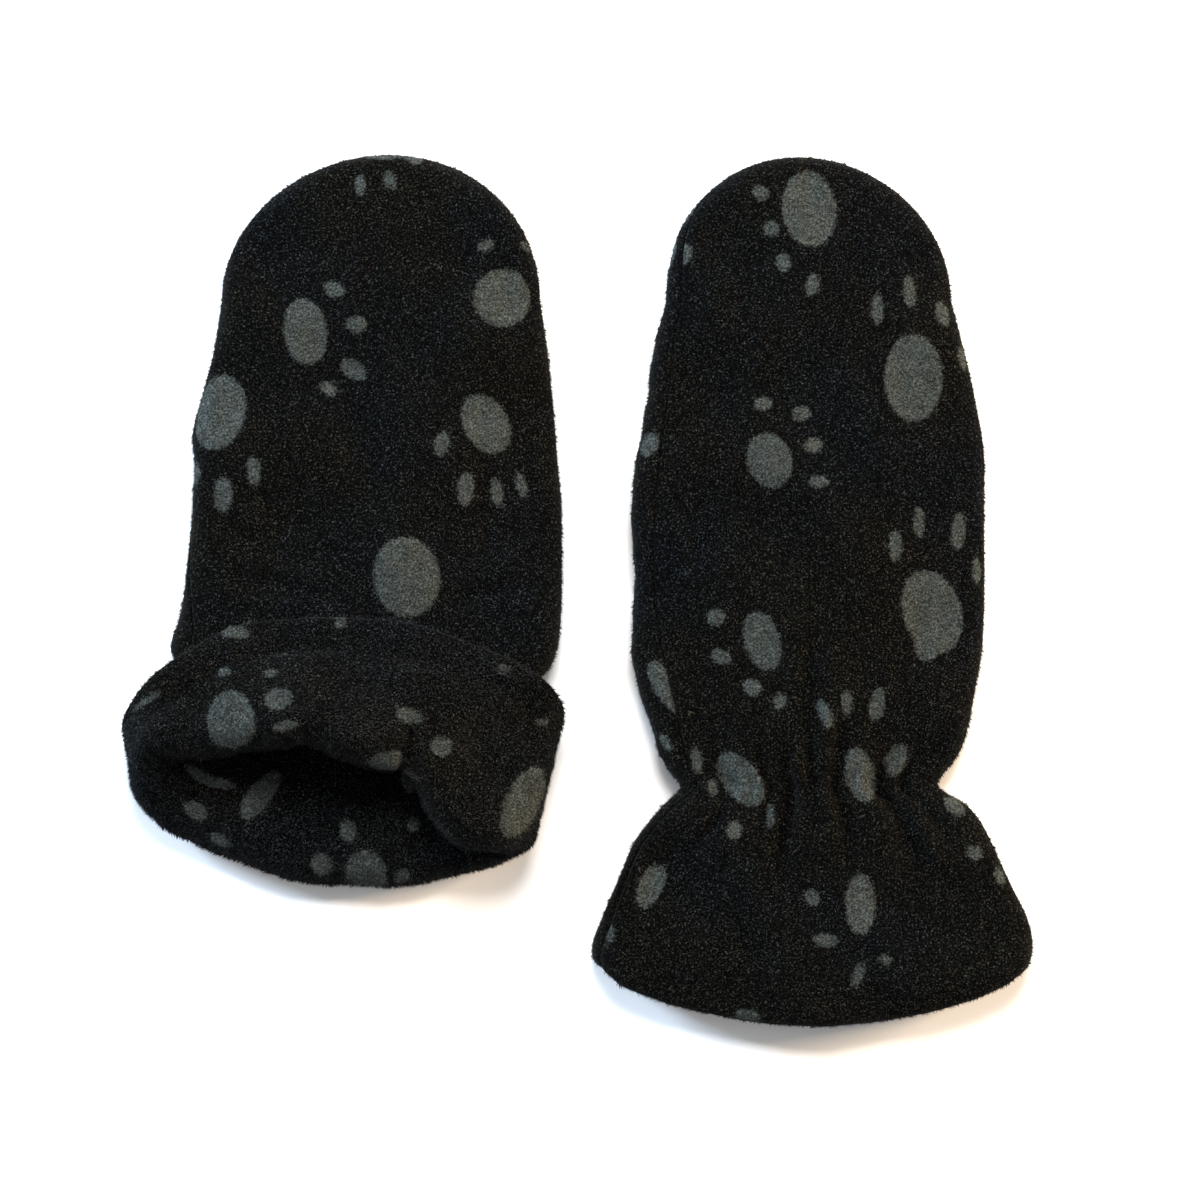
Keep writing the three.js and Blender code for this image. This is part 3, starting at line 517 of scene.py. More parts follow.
def hand_rows(sections, tip, hem=0.0):
    """The rows of a hand: its sections, then a fan about one point that closes the tip."""
    first, last = sections["y"][0] + hem, sections["y"][-1]
    y = np.linspace(first, last, round((last - first) / ROW_STEP) + 1)
    rows = {key: read(sections, "y", key, y) for key in sections}
    middle_x = (rows["left"] + rows["right"]) / 2
    middle = np.stack([middle_x, y], axis=-1)
    sides = np.stack([np.stack([rows["left"], y], -1), np.stack([rows["right"], y], -1)])
    share = np.arange(1, TIP_ROWS + 1) / TIP_ROWS
    angle = share * math.pi / 2
    half = (rows["right"][-1] - rows["left"][-1]) / 2
    across = np.abs(np.cos(angle)) ** (2 / tip["power"]) * half
    up = np.sin(angle) ** (2 / tip["power"])
    tip_y = last + up * tip["height"]
    drift = middle_x[-1] + tip["peak"] * up * up
    tip_sides = np.stack([np.stack([drift - across, tip_y], -1), np.stack([drift + across, tip_y], -1)])
    fan = {key: np.full(TIP_ROWS, rows[key][-1]) for key in ("crown", "bow", "back_bow")}
    fan["rise"] = rows["rise"][-1] * (1 - smooth(share / TIP_RISE_ENDS))
    return {
        "middle": np.concatenate([middle, np.repeat(middle[-1:], TIP_ROWS, axis=0)]),
        "sides": np.concatenate([sides, tip_sides], axis=1),
        **{key: np.concatenate([rows[key], fan[key]]) for key in fan},
    }


def troughs(shape, x, y, at):
    """Depth of the creases and gathers at places on a front."""
    depth = np.zeros_like(x)
    for gathers in shape["gathers"]:
        for g_at, half, deep, up, down in zip(*gathers.values()):
            reach = np.where(y > 0, y / up, -y / down)
            depth += deep * hump((at - g_at) / half) * (1 - smooth(reach))
    for c_x, start, end, lean, half, deep in zip(*shape["creases"].values()):
        middle = (start + end) / 2
        along = (y - middle) / ((end - start) / 2)
        depth += deep * hump((x - c_x - lean * (y - middle)) / half) * hump(along)
    return depth


def hand_skins(shape, places, is_front):
    """The two skins of a hand panel, the way in at each point, and its place along the flat cloth."""
    rows = shape["rows"]
    at = places[None, :]
    side = (places >= 0).astype(int)
    edge = rows["sides"][side].transpose(1, 0, 2)
    middle = rows["middle"][:, None, :]
    out = edge - middle
    reach = np.linalg.norm(out, axis=-1)
    flat = reach - EDGE_RADIUS
    seam = np.where(side[None, :] == 0, rows["rise"][:, None], 0)
    up = 1 if is_front else -1
    way = lerp(up * (QUARTER + flat), seam, np.abs(at))
    turn = np.clip(way / EDGE_RADIUS, -math.pi / 2, math.pi / 2)
    past = np.maximum(0, np.abs(way) - QUARTER)
    bow = rows["bow" if is_front else "back_bow"][:, None]

    def plan(inset):
        share = np.minimum(1, inset / reach)
        spot = lerp(edge, middle, share[..., None])
        spot[..., 1] -= bow * (1 - (1 - np.maximum(share, 0)) ** BOW_POWER)
        return spot

    spot = plan(EDGE_RADIUS * (1 - np.cos(turn)) + past)
    cloth = plan(EDGE_RADIUS - QUARTER + up * way)
    z = EDGE_RADIUS * (1 + np.sin(turn))
    over = past / flat
    sunk = np.zeros_like(z)
    if is_front:
        across = np.where(side[None, :] == 0, over - 1, 1 - over)
        sunk = troughs(shape, spot[..., 0], spot[..., 1], across) * smooth(over * GATHERS_FADE)
        z += np.where(way > QUARTER, shape_crown(rows, over), 0) - sunk
    if "climb" in shape:
        climb = shape["climb"]
        z += climb["height"] * smooth((climb["from"] - spot[..., 1]) / climb["run"])
    plan_way = -out / reach[..., None]
    inward = np.concatenate([plan_way * np.cos(turn)[..., None], -np.sin(turn)[..., None]], axis=-1)
    back = np.concatenate([plan_way * np.sin(turn)[..., None], np.cos(turn)[..., None]], axis=-1)
    outer = np.concatenate([spot, z[..., None]], axis=-1)
    outer += back * (up * GAP / 2 * np.abs(at) ** SEAM_PULL)[..., None]
    inner = outer + inward * WALL
    inner[..., 2] += sunk / 2
    from_seam = np.abs(way - seam)
    return {"outer": outer, "inner": inner, "inward": inward, "cloth": cloth, "from_seam": from_seam}


def shape_crown(rows, over):
    return rows["crown"][:, None] * np.sin(np.minimum(over, 1) * math.pi / 2)


# The turned cuff

def closed_ring(rows):
    """A ring's table with its last row repeated before it and its first two after it."""
    closed = {}
    for key, column in rows.items():
        shift = {"at": RING_LENGTH, "out": -360}.get(key, 0)
        closed[key] = np.concatenate([column[-1:] - shift, column, column[:2] + shift])
    return closed


WRIST_RING = closed_ring(WRIST)
FOLD_RING = closed_ring(FOLD)
HEM_RING = closed_ring(HEM)


def ring_at(ring, keys, at):
    return [float(read(ring, "at", key, np.float64(at))) for key in keys.split()]


def hem_point(at):
    return np.array(ring_at(HEM_RING, "x y z", at))


def fold_centre(at):
    return np.array(ring_at(FOLD_RING, "x y z", at))


def onward_of(point_at, at):
    """The way onward round the ring at a place of a smooth ring of points."""
    return unit(point_at(at + NEARBY) - point_at(at - NEARBY))


def taut_angle(place, centre, ahead, turned, roll, side):
    """The angle round the fold at which cloth that runs straight to a place touches it."""
    off = place - centre
    a, t = off @ ahead, off @ turned
    spread = math.acos(min(1, roll / math.hypot(a, t)))
    behind = (side * math.atan2(t, a) + 2 * math.pi) % (2 * math.pi)
    return side * (behind - spread)


def bezier(a, leave, b, arrive, t):
    pull = np.linalg.norm(b - a) / 3
    p, q = a + leave * pull, b - arrive * pull
    t = t[:, None]
    return a * (1 - t) ** 3 + 3 * p * t * (1 - t) ** 2 + 3 * q * t * t * (1 - t) + b * t**3


def cuff_column(at, shift):
    """One column of the turned cuff: the lining's face from the wrist to the hem, and the ways in."""
    x, y, z, out = ring_at(WRIST_RING, "x y z out", at)
    wrist = np.array([x, y, z])
    outward = np.array([-math.sin(math.radians(out)), 0, math.cos(math.radians(out))])
    roll, face, slack = ring_at(FOLD_RING, "roll face slack", at)
    centre = fold_centre(at)
    onward = onward_of(fold_centre, at)
    ahead = np.array([-math.sin(math.radians(face)), -math.cos(math.radians(face)), 0])
    ahead = unit(ahead - onward * (ahead @ onward))
    turned = np.cross(ahead, onward)
    end = hem_point(at)
    start = taut_angle(wrist, centre, ahead, turned, roll, -1)
    stop = taut_angle(end, centre, ahead, turned, roll, 1) - math.radians(slack)
    angles = np.linspace(start, stop, ROLL_ROWS + 1)[:, None]
    arc = ahead * np.cos(angles) + turned * np.sin(angles)
    on_fold = centre + arc * roll
    leave = ahead * math.cos(stop + math.pi / 2) + turned * math.sin(stop + math.pi / 2)
    lie = math.radians(ring_at(HEM_RING, "lie", at)[0])
    arrive = end - on_fold[-1]
    arrive[2] = 0
    arrive = unit(arrive) * math.cos(lie)
    arrive[2] = -math.sin(lie)
    leg = lerp(wrist, on_fold[0], (np.arange(LEG_ROWS) / LEG_ROWS)[:, None])
    stop_at = 1 - HEM_ROUND / np.linalg.norm(end - on_fold[-1])
    back = bezier(on_fold[-1], leave, end, arrive, np.arange(1, RETURN_ROWS + 1) / RETURN_ROWS * stop_at)
    column = np.concatenate([leg, on_fold, back])
    column[:, 2] = np.maximum(0, column[:, 2])  # the table is at 0
    turn_ends = LEG_ROWS + ROLL_ROWS
    past = np.maximum(0, np.arange(len(column)) - turn_ends)[:, None] / RETURN_ROWS
    hem_onward = onward_of(hem_point, at)
    round_ways = unit(lerp(onward, hem_onward, past))
    round_ways[0] = (0, 0, np.sign(onward[2]))
    column += round_ways * shift
    hem_way = unit(np.cross(arrive, hem_onward))
    ways = np.empty_like(column)
    ways[1 : LEG_ROWS + 1] = -arc[0]
    ways[LEG_ROWS : turn_ends + 1] = -arc
    ways[turn_ends:] = unit(lerp(-arc[-1], hem_way, past[turn_ends:]))
    mitre = unit(outward - arc[0])
    ways[0] = mitre / max(MITRE_LIMIT, mitre @ outward)
    return column, ways


def cuff_face(places, is_front):
    """The lining's face over the turned cuff of one panel, and the ways from it into the cloth."""
    columns = []
    for place in places:
        at = place if is_front else 2 - place
        shift = (-1 if is_front else 1) * np.sign(place) * abs(place) ** SEAM_PULL * GAP / 2
        columns.append(cuff_column(at, shift))
    face = np.stack([column for column, _ in columns], axis=1)
    ways = np.stack([way for _, way in columns], axis=1)
    return face, ways


def along_columns(face):
    """How far each point is down its column from the first."""
    steps = np.linalg.norm(np.diff(face, axis=0), axis=-1)
    return np.concatenate([np.zeros((1, face.shape[1])), np.cumsum(steps, axis=0)])


def cuff_cloth(face, is_front):
    """Places along the flat cloth of the cuff: x as it lies, y run on round the fold from its top."""
    length = along_columns(face)
    cloth = face[..., :2].copy()
    top = face[..., 2].argmax(axis=0) if is_front else np.full(face.shape[1], LEG_ROWS // 2)
    for c, row in enumerate(top):
        run = length[:, c] - length[row, c]
        cloth[:, c, 1] = face[row, c, 1] + (run if is_front else -run)
    return cloth


def dents(cloth, rows):
    """Depth of the soft dents at places along the cloth."""
    depth = np.zeros(cloth.shape[:-1])
    for x, y, long, half, turn, deep in zip(*rows.values()):
        c, s = math.cos(math.radians(turn)), math.sin(math.radians(turn))
        dx, dy = cloth[..., 0] - x, cloth[..., 1] - y
        depth += deep * hump((dx * c + dy * s) / half) * hump((dy * c - dx * s) / long)
    return depth


# Prints

def print_depth(cloth, prints):
    """How deep inside the nearest oval each place of the cloth is, in millimetres, below 0 outside."""
    deepest = np.full(cloth.shape[:-1], NO_PRINT)
    for x, y, wide, tall, turn in zip(*prints.values()):
        c, s = math.cos(math.radians(turn)), math.sin(math.radians(turn))
        dx, dy = cloth[..., 0] - x, cloth[..., 1] - y
        across, along = (dx * c + dy * s) / (wide / 2), (dy * c - dx * s) / (tall / 2)
        radius = np.hypot(across, along)
        slope = np.hypot(across / (wide / 2), along / (tall / 2)) / np.maximum(radius, 1e-6)
        inside = (1 - radius) / np.maximum(slope, 1e-6)
        deepest = np.maximum(deepest, np.minimum(inside, min(wide, tall) / 2))
    return deepest


def paw_repeat(seed, widest=EVERYWHERE, lowest=-EVERYWHERE):
    """Whole paws over the sides that the photograph doesn't show, staggered and turned."""
    draw = np.random.default_rng(seed)
    placed = {key: [] for key in PLAIN_PAW}
    for row in PAW_ROWS:
        for column in PAW_COLUMNS:
            x = (column + 0.5 * (row % 2)) * PAW_SPACING[0] + draw.uniform(-PAW_STRAY, PAW_STRAY)
            y = row * PAW_SPACING[1] + draw.uniform(-PAW_STRAY, PAW_STRAY)
            turn = draw.uniform(0, 360)
            size = draw.uniform(*PAW_SIZES)
            c, s = math.cos(math.radians(turn)), math.sin(math.radians(turn))
            placed["x"].append(x + size * (PLAIN_PAW["x"] * c - PLAIN_PAW["y"] * s))
            placed["y"].append(y + size * (PLAIN_PAW["x"] * s + PLAIN_PAW["y"] * c))
            placed["wide"].append(PLAIN_PAW["wide"] * size)
            placed["tall"].append(PLAIN_PAW["tall"] * size)
            placed["turn"].append(PLAIN_PAW["turn"] + turn)
    prints = {key: np.concatenate(parts) for key, parts in placed.items()}
    side = widest - WRIST_DRAWS_IN * hump(prints["y"] / WRIST_REACH)
    kept = (np.abs(prints["x"]) < side) & (prints["y"] > lowest)
    return {key: column[kept] for key, column in prints.items()}


# Meshes

def grid_normals(skin, ways_in):
    """Smooth normals of a grid, turned to face away from the cloth."""
    normal = unit(np.cross(np.gradient(skin, axis=0), np.gradient(skin, axis=1)))
    facing = np.sign((normal * -ways_in).sum(axis=-1, keepdims=True))
    return normal * np.where(facing == 0, 1, facing)


def softened(skin, ways_in, from_seam, dented):
    """The outer skin of a panel: inset for the pile, drawn in at the seams, dented and slightly uneven."""
    t = np.clip(1 - from_seam / SEAM_WIDTH, 0, 1)
    dip = SEAM_DIP * (1 - np.sqrt(1 - t * t))
    lumps = (SLACK_WAVES.at(skin) + DIMPLE_WAVES.at(skin) + dented) * smooth(from_seam / CALM_BY_SEAM)
    moved = skin + ways_in * (NAP + dip + lumps)[..., None]
    moved[..., 2] = np.maximum(moved[..., 2], CLOTH_LOWEST)
    return moved


def hem_rows(outer, inner):
    """Rows that round a hem from the outer skin's first row to the inner skin's first row."""
    start, end = outer[0], inner[0]
    ahead = unit(outer[0] - outer[1] + inner[0] - inner[1])
    middle = (start + end) / 2
    half = np.linalg.norm(end - start, axis=-1, keepdims=True) / 2
    rows = []
    for k in range(1, HEM_ROWS):
        turn = math.pi * k / HEM_ROWS
        rows.append(middle + (start - middle) * math.cos(turn) + ahead * half * HEM_BULGE * math.sin(turn))
    return rows


def with_hem(outer, inner, ways_in, depths, inner_rows=0):
    """The outer skin carried on round its hem and a little up the inside, where the pile grows too."""
    rim = np.stack(hem_rows(outer, inner))[::-1]
    rim_ways = unit((outer[0] + inner[0]) / 2 - rim)
    inside = inner[1 : inner_rows + 1][::-1]
    skin = np.concatenate([inside, rim, outer])
    ways = np.concatenate([-ways_in[1 : inner_rows + 1][::-1], rim_ways, ways_in])
    round_hem = np.repeat(depths[:1], len(inside) + len(rim), axis=0)
    return skin, grid_normals(skin, ways), np.concatenate([round_hem, depths])


def grid_faces(rows, columns, first=0):
    """Quads of a grid of vertices that starts at one index."""
    i = np.arange(rows - 1)[:, None] * columns + np.arange(columns - 1)[None, :] + first
    return np.stack([i, i + 1, i + columns + 1, i + columns], axis=-1).reshape(-1, 4)


def shell(name, outer, inner, prints_out, prints_in, origin, material, round_both=False):
    """A closed thin shell between two grids, with a rounded hem at the first rows."""
    loop = [outer[::-1], np.stack(hem_rows(outer, inner)), inner]
    depth = [prints_out[::-1], np.repeat(prints_out[:1], HEM_ROWS - 1, axis=0), prints_in]
    if round_both:
        far = hem_rows(outer[::-1], inner[::-1])
        loop.append(np.stack(far[::-1]))
        depth.append(np.repeat(prints_out[-1:], HEM_ROWS - 1, axis=0))
    wrapped = np.concatenate(loop)
    depths = np.concatenate(depth)
    rows, columns = wrapped.shape[:2]
    wrapped = np.concatenate([wrapped, wrapped[:1]])
    points = wrapped.reshape(-1, 3)
    faces = [tuple(face) for face in grid_faces(rows + 1, columns)]
    # Each side of the wrap is closed by quads between the rows that face each other.
    for column in (0, columns - 1):
        for k in range(rows // 2):
            a, b = k * columns + column, (k + 1) * columns + column
            c, d = (rows - 2 - k) * columns + column, (rows - 1 - k) * columns + column
            if len({a, b, c, d}) == 4 and k + 1 < rows - 1 - k:
                faces.append((a, d, c, b) if column == 0 else (a, b, c, d))
    depths = np.concatenate([depths, depths[:1]]).reshape(-1)
    return mesh_object(name, points, faces, depths, origin, material)


def mesh_object(name, points, faces, depths, origin, material):
    """A smooth mesh in metres from points in millimetres, with equal points joined."""
    placed = (points + np.array([origin[0], origin[1], 0])) * MM
    mesh = bpy.data.meshes.new(name)
    mesh.from_pydata(placed.tolist(), [], faces)
    store(mesh, "print_depth", depths)
    store(mesh, "shade", np.full(len(points), CLOTH_SHADE))
    work = bmesh.new()
    work.from_mesh(mesh)
    bmesh.ops.remove_doubles(work, verts=work.verts, dist=JOIN_WITHIN)
    bmesh.ops.dissolve_degenerate(work, dist=NO_LENGTH, edges=work.edges)
    bmesh.ops.recalc_face_normals(work, faces=work.faces)
    work.to_mesh(mesh)
    work.free()
    mesh.polygons.foreach_set("use_smooth", np.ones(len(mesh.polygons), bool))
    return linked(name, mesh, material)


def store(mesh, name, values):
    mesh.attributes.new(name, "FLOAT", "POINT").data.foreach_set("value", np.asarray(values, np.float32))


def linked(name, mesh, material):
    piece = bpy.data.objects.new(name, mesh)
    bpy.context.scene.collection.objects.link(piece)
    mesh.materials.append(material)
    return piece


def pile(name, skin, normals, depths, share, count, height, seed, origin, material):
    """Short tufts over a skin, each a closed spike that leans with the nap. share: how dense, by place."""
    draw = np.random.default_rng(seed)
    a, b, c, d = skin[:-1, :-1], skin[:-1, 1:], skin[1:, 1:], skin[1:, :-1]
    area = np.linalg.norm(np.cross(c - a, d - b), axis=-1) / 2
    seen = np.where(normals[:-1, :-1, 2] > FACES_DOWN, 1.0, UNSEEN_PILE)
    weight = (area * seen * (share[:-1, :-1] + share[1:, 1:]) / 2).ravel()
    cell = draw.choice(weight.size, count, p=weight / weight.sum())
    i, j = np.divmod(cell, skin.shape[1] - 1)
    s, t = draw.uniform(0, 1, (2, count))

    def between(grid):
        s_, t_ = (s, t) if grid.ndim == 2 else (s[:, None], t[:, None])
        low = lerp(grid[i, j], grid[i, j + 1], s_)
        return lerp(low, lerp(grid[i + 1, j], grid[i + 1, j + 1], s_), t_)

    root, normal, depth = between(skin), unit(between(normals)), between(depths)
    swirl = NAP_WAVES.at(root) + draw.normal(0, TUFT_STRAY, count)
    lean_way = np.stack([np.sin(swirl), -np.cos(swirl), np.zeros(count)], axis=-1)
    lean_way = unit(lean_way - normal * (lean_way * normal).sum(axis=-1, keepdims=True))
    lean = np.radians(draw.normal(*TUFT_LEAN, count))[:, None]
    tuft = TUFT_WAVES.at(root)
    long = (height * (1 + TUFT_CLUMPING * tuft) * draw.uniform(*TUFT_LENGTH, count))[:, None]
    tip = root + long * (normal * np.cos(lean) + lean_way * np.sin(lean))
    tip[:, 2] = np.maximum(tip[:, 2], TIP_LOWEST)
    side = unit(np.cross(normal, lean_way))
    wide = draw.uniform(*TUFT_HALF_WIDTH, count)[:, None]
    base = root - normal * TUFT_ROOT
    base[:, 2] = np.maximum(base[:, 2], ROOT_LOWEST)
    behind = base - side * wide * 0.5
    corners = [base + side * wide, behind + lean_way * wide, behind - lean_way * wide]
    points = np.stack([*corners, tip], axis=1).reshape(-1, 3)
    first = np.arange(count)[:, None, None] * 4
    triangles = first + np.array(SPIKE)[None]
    mesh = bpy.data.meshes.new(name)
    placed = (points + np.array([origin[0], origin[1], 0])) * MM
    corner_index = triangles.reshape(-1)
    mesh.vertices.add(len(placed))
    mesh.vertices.foreach_set("co", placed.ravel())
    mesh.loops.add(len(corner_index))
    mesh.loops.foreach_set("vertex_index", corner_index)
    mesh.polygons.add(len(corner_index) // 3)
    mesh.polygons.foreach_set("loop_start", np.arange(0, len(corner_index), 3))
    mesh.update(calc_edges=True)
    mesh.polygons.foreach_set("use_smooth", np.ones(len(mesh.polygons), bool))
    store(mesh, "print_depth", np.repeat(depth + draw.normal(0, TUFT_PRINT_STRAY, count), 4))
    mean, spread = TUFT_SHADE
    shade = np.clip(mean + CLUMP_SHADE * tuft + draw.normal(0, spread, count), 0, 1)
    store(mesh, "shade", np.repeat(shade, 4))
    return linked(name, mesh, material)


# Materials

def fleece(name, ground, fleck, motif):
    """Fleece: a dark ground with lighter flecks, tinted in broad patches by painted cool and warm sheen,
    and pale prints with fuzzy edges.
    """
    material = bpy.data.materials.new(name)
    material.use_nodes = True
    nodes, links = material.node_tree.nodes, material.node_tree.links
    shader = nodes["Principled BSDF"]
    shader.inputs["Roughness"].default_value = 0.92
    shader.inputs["Specular IOR Level"].default_value = 0.03
    shader.inputs["Sheen Weight"].default_value = 0.035
    shader.inputs["Sheen Roughness"].default_value = 0.42
    shader.inputs["Sheen Tint"].default_value = (0.8, 0.86, 0.9, 1)

    def node(kind, **values):
        made = nodes.new(kind)
        for key, value in values.items():
            setattr(made, key, value)
        return made

    place = node("ShaderNodeTexCoord")

    def noise(scale, detail):
        made = node("ShaderNodeTexNoise")
        made.inputs["Scale"].default_value = scale
        made.inputs["Detail"].default_value = detail
        links.new(place.outputs["Object"], made.inputs["Vector"])
        return made.outputs["Fac"]

    def maths(kind, a, b):
        made = node("ShaderNodeMath", operation=kind)
        for socket, value in zip(made.inputs, (a, b)):
            if isinstance(value, (int, float)):
                socket.default_value = value
            else:
                links.new(value, socket)
        return made.outputs[0]

    def ramp(value, low, high):
        made = node("ShaderNodeMapRange", interpolation_type="SMOOTHSTEP")
        made.inputs["From Min"].default_value = low
        made.inputs["From Max"].default_value = high
        links.new(value, made.inputs["Value"])
        return made.outputs["Result"]

    def mixed(factor, a, b):
        made = node("ShaderNodeMix", data_type="RGBA")
        links.new(factor, made.inputs["Factor"])
        for socket, value in (("A", a), ("B", b)):
            target = [s for s in made.inputs if s.name == socket and s.type == "RGBA"][0]
            if isinstance(value, tuple):
                target.default_value = (*value, 1)
            else:
                links.new(value, target)
        return [s for s in made.outputs if s.type == "RGBA"][0]

    depth = node("ShaderNodeAttribute", attribute_name="print_depth").outputs["Fac"]
    shade = node("ShaderNodeAttribute", attribute_name="shade").outputs["Fac"]
    ragged = maths("MULTIPLY", maths("SUBTRACT", noise(FUZZ_SCALE, 2), 0.5), FUZZ)
    printed = ramp(maths("ADD", depth, ragged), -PRINT_EDGE, PRINT_EDGE)
    grain = maths("ADD", noise(GRAIN_SCALE, 1), maths("MULTIPLY", shade, SHADE_SHARE))
    flecked = maths("POWER", ramp(grain, *FLECK_RAMP), FLECK_POWER)
    # painted sheen: the flecks turn bluish in some broad patches and warm in others, at random places,
    # standing in for the cool and the warm lamplight on the fleece
    sheen_patches = ramp(noise(SHEEN_PATCH_SCALE, 1), *SHEEN_PATCH_RAMP)
    painted_cool_sheen, painted_warm_sheen = (tuple(a * b for a, b in zip(fleck, tint)) for tint in (COOL_SHEEN_TINT, WARM_SHEEN_TINT))
    dark = mixed(flecked, ground, mixed(sheen_patches, painted_cool_sheen, painted_warm_sheen))
    worn = ramp(grain, *WORN_RAMP)
    darkest, lightest = (tuple(tone * v for v in motif) for tone in WORN_TONES)
    pale = mixed(worn, darkest, lightest)
    links.new(mixed(printed, dark, pale), shader.inputs["Base Color"])
    bump = node("ShaderNodeBump")
    bump.inputs["Strength"].default_value = 0.5
    bump.inputs["Distance"].default_value = 0.0003
    links.new(noise(BUMP_SCALE, 4), bump.inputs["Height"])
    links.new(bump.outputs["Normal"], shader.inputs["Normal"])
    return material


def floor_material():
    material = bpy.data.materials.new("floor_paper")
    material.use_nodes = True
    nodes, links = material.node_tree.nodes, material.node_tree.links
    shader = nodes["Principled BSDF"]
    shader.inputs["Roughness"].default_value = 0.9
    shader.inputs["Specular IOR Level"].default_value = 0.1
    grain = nodes.new("ShaderNodeTexNoise")
    grain.inputs["Scale"].default_value = 60
    tone = nodes.new("ShaderNodeValToRGB")
    tone.color_ramp.elements[0].color = (0.88, 0.88, 0.88, 1)
    tone.color_ramp.elements[1].color = (0.9, 0.9, 0.9, 1)
    links.new(grain.outputs["Fac"], tone.inputs["Fac"])
    links.new(tone.outputs["Color"], shader.inputs["Base Color"])
    return material


# Pieces

def finish_sheet(piece, tufts, node):
    """Puts a panel and its pile in the model, as one sheet of cloth that stands for its solid."""
    for each in (piece, tufts):
        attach(each, "root")
    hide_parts(node)


def right_panel(shape, half, is_front, prints, tufts, material):
    """One panel of the closed mitten."""
    name = "right_front" if is_front else "right_back"
    skins = hand_skins(shape, places_across(half), is_front)
    dented = dents(skins["cloth"], RIGHT_HAND_DENTS if is_front else BACK_DENTS)
    outer = softened(skins["outer"], skins["inward"], skins["from_seam"], dented)
    depths = print_depth(skins["cloth"], prints)
    inner_depths = print_depth(skins["cloth"], paw_repeat(INSIDE_SEEDS[name], lowest=DEEP_INSIDE))
    piece = shell(f"{name}_cloth", outer, skins["inner"], depths, inner_depths, RIGHT_WRIST, material)
    skin, normals, depths = with_hem(outer, skins["inner"], skins["inward"], depths, PILED_ROWS_INSIDE)
    fur = pile(
        f"{name}_pile", skin, normals, depths, np.ones(skin.shape[:2]), tufts, PILE_LENGTH,
        PILE_SEEDS[name], RIGHT_WRIST, material,
    )
    finish_sheet(piece, fur, name)


def left_panel(shape, half, is_front, prints, cuff_prints, tufts, materials):
    """One panel of the mitten with the turned cuff: the shell, and the lining over its cuff."""
    shell_material, lining_material = materials
    side = "front" if is_front else "back"
    places = places_across(half)
    hand = hand_skins(shape, places, is_front)
    face, ways = cuff_face(places, is_front)
    cuff_seam = np.repeat((1 - np.abs(places))[None, :] * CUFF_HALF_WIDTH, len(face), axis=0)

    dented = dents(hand["cloth"], LEFT_HAND_DENTS if is_front else BACK_DENTS)
    hand_outer = softened(hand["outer"], hand["inward"], hand["from_seam"], dented)
    cuff_outer = (face + ways * CUFF_WALL)[::-1]
    outer = np.concatenate([cuff_outer, hand_outer])
    inner = np.concatenate([(face + ways * (PLY + GAP))[::-1], hand["inner"]])
    hand_depths = print_depth(hand["cloth"], prints)
    under_cuff = np.full(face.shape[:2], NO_PRINT)
    name = f"left_{side}"
    inside = print_depth(hand["cloth"], paw_repeat(INSIDE_SEEDS[name], lowest=DEEP_INSIDE))
    inner_depths = np.concatenate([under_cuff, inside])
    depths = np.concatenate([under_cuff, hand_depths])
    piece = shell(f"{name}_cloth", outer, inner, depths, inner_depths, LEFT_WRIST, shell_material)
    out_ways = np.concatenate([-ways[::-1], hand["inward"]])
    skin, normals, depths = with_hem(outer, inner, out_ways, depths)
    share = np.ones(skin.shape[:2])
    share[HEM_ROWS - 1 + PILED_ROWS_TURNED : len(skin) - len(hand_outer)] = HIDDEN_PILE
    fur = pile(
        f"{name}_pile", skin, normals, depths, share, tufts[0], PILE_LENGTH,
        PILE_SEEDS[name], LEFT_WRIST, shell_material,
    )
    finish_sheet(piece, fur, name)

    start = face[:1].copy()
    start[..., 1] -= GAP
    lining_face = np.concatenate([start, face[1:]])
    cloth = cuff_cloth(face, is_front)
    dented = dents(cloth, CUFF_FRONT_DENTS if is_front else CUFF_BACK_DENTS)
    down = along_columns(face)
    from_hem = down[-1:] - down
    hem_line = HEM_LINE * hump((from_hem - HEM_DEPTH) / HEM_DEPTH / HEM_LINE_HALF)
    dented += hem_line - HEM_SWELL * hump(from_hem / HEM_DEPTH)
    soft_face = softened(lining_face, ways, cuff_seam, dented)[::-1]
    wrong_side = (lining_face + ways * PLY)[::-1]
    depth = print_depth(cloth, cuff_prints)[::-1]
    name = f"left_cuff_lining_{side}"
    piece = shell(
        f"{name}_cloth", soft_face, wrong_side, depth, under_cuff, LEFT_WRIST, lining_material,
        round_both=True,
    )
    skin, normals, depth = with_hem(soft_face, wrong_side, ways[::-1], depth)
    fur = pile(
        f"{name}_pile", skin, normals, depth, np.ones(skin.shape[:2]), tufts[1], LINING_PILE_LENGTH,
        PILE_SEEDS[name], LEFT_WRIST, lining_material,
    )
    finish_sheet(piece, fur, name)


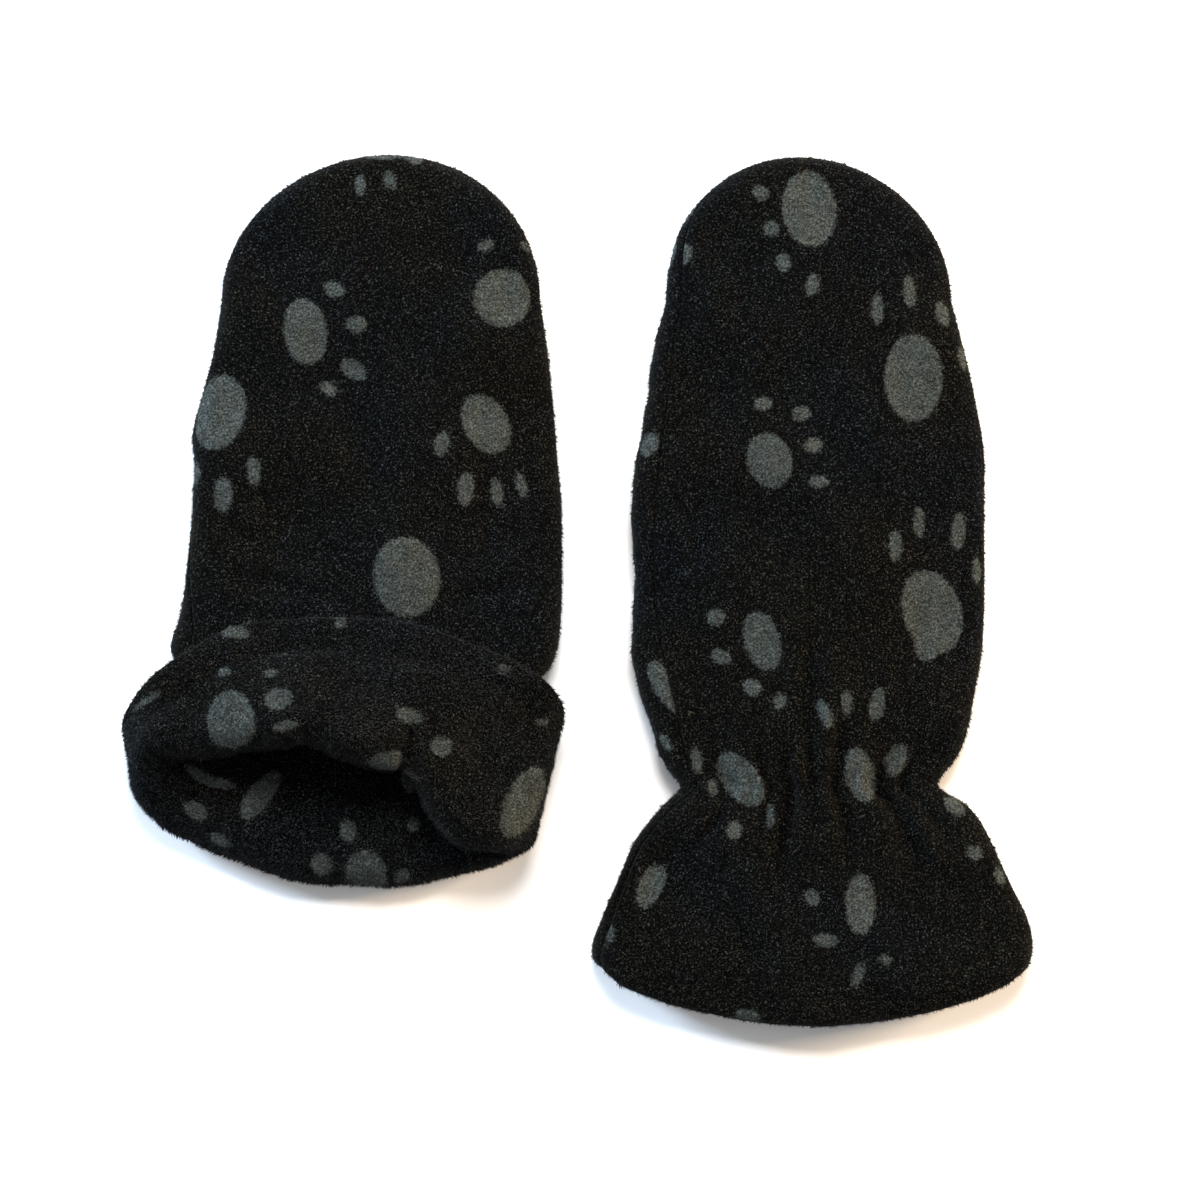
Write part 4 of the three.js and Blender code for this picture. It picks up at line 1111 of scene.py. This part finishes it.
def build_mittens():
    shell_fleece = fleece("shell_fleece", GROUND, SHELL_FLECKS, SHELL_PRINT)
    lining_fleece = fleece("lining_fleece", GROUND, LINING_FLECKS, LINING_PRINT)
    right = {
        "rows": hand_rows(RIGHT_SECTIONS, RIGHT_TIP, HEM_ROUND),
        "creases": RIGHT_CREASES,
        "gathers": [GATHERS, PUCKERS],
    }
    left = {
        "rows": hand_rows(LEFT_SECTIONS, LEFT_TIP),
        "creases": LEFT_CREASES,
        "gathers": [],
        "climb": LEFT_CLIMB,
    }
    back_repeat = paw_repeat(REPEAT_SEEDS["right_back"], BACK_PRINTS_WITHIN)
    strip = {key: np.concatenate([RIGHT_STRIP_PRINTS[key], back_repeat[key]]) for key in back_repeat}
    right_under = {**right, "rows": hand_rows(RIGHT_SECTIONS, RIGHT_TIP, BACK_HEM_ROUND)}
    right_panel(right_under, BACK_HALF, False, strip, RIGHT_BACK_TUFTS, shell_fleece)
    right_panel(right, FRONT_HALF, True, RIGHT_PRINTS, RIGHT_FRONT_TUFTS, shell_fleece)
    left_repeat = paw_repeat(REPEAT_SEEDS["left_back"], BACK_PRINTS_WITHIN)
    fleeces = (shell_fleece, lining_fleece)
    left_panel(left, BACK_HALF, False, left_repeat, LEFT_MOUTH_PRINTS, LEFT_BACK_TUFTS, fleeces)
    left_panel(left, FRONT_HALF, True, LEFT_HAND_PRINTS, LEFT_CUFF_PRINTS, LEFT_FRONT_TUFTS, fleeces)


# Camera, floor and light

def make_camera():
    data = bpy.data.cameras.new("camera")
    camera = bpy.data.objects.new("camera", data)
    bpy.context.scene.collection.objects.link(camera)
    camera.location = (*VIEW_CENTRE, CAMERA_HEIGHT)
    data.sensor_width = SENSOR_WIDTH
    data.lens = SENSOR_WIDTH * (CAMERA_HEIGHT - VIEW_LEVEL) / VIEW_WIDTH
    data.clip_start = 0.05
    bpy.context.scene.camera = camera


def make_floor():
    mesh = bpy.data.meshes.new("floor")
    corners = [(x * FLOOR_HALF, y * FLOOR_HALF, 0) for x, y in ((-1, -1), (1, -1), (1, 1), (-1, 1))]
    mesh.from_pydata(corners, [], [(0, 1, 2, 3)])
    linked("floor", mesh, floor_material())


def make_light(name, place, size, power, colour):
    data = bpy.data.lights.new(name, "AREA")
    data.size = size
    data.energy = power
    data.color = colour
    light = bpy.data.objects.new(name, data)
    bpy.context.scene.collection.objects.link(light)
    light.location = place
    aim = Vector((0, 0, 0)) - Vector(place)
    light.rotation_euler = aim.to_track_quat("-Z", "Y").to_euler()


def make_lights():
    make_light("window_left", (-1.3, 0.7, 0.5), 0.4, 60.0, (0.64, 0.8, 1.0))
    make_light("lamp_right", (1.3, 0.35, 0.36), 0.4, 48.0, (1.0, 0.74, 0.48))
    make_light("overhead", (0.1, 0.9, 1.2), 0.6, 34.0, (1.0, 0.98, 0.95))
    world = bpy.data.worlds.new("studio")
    bpy.context.scene.world = world
    world.use_nodes = True
    background = world.node_tree.nodes["Background"]
    background.inputs["Color"].default_value = (1, 1, 1, 1)
    background.inputs["Strength"].default_value = 0.5
    bpy.context.scene.view_settings.view_transform = "Standard"


make_camera()
build_mittens()
make_floor()
make_lights()
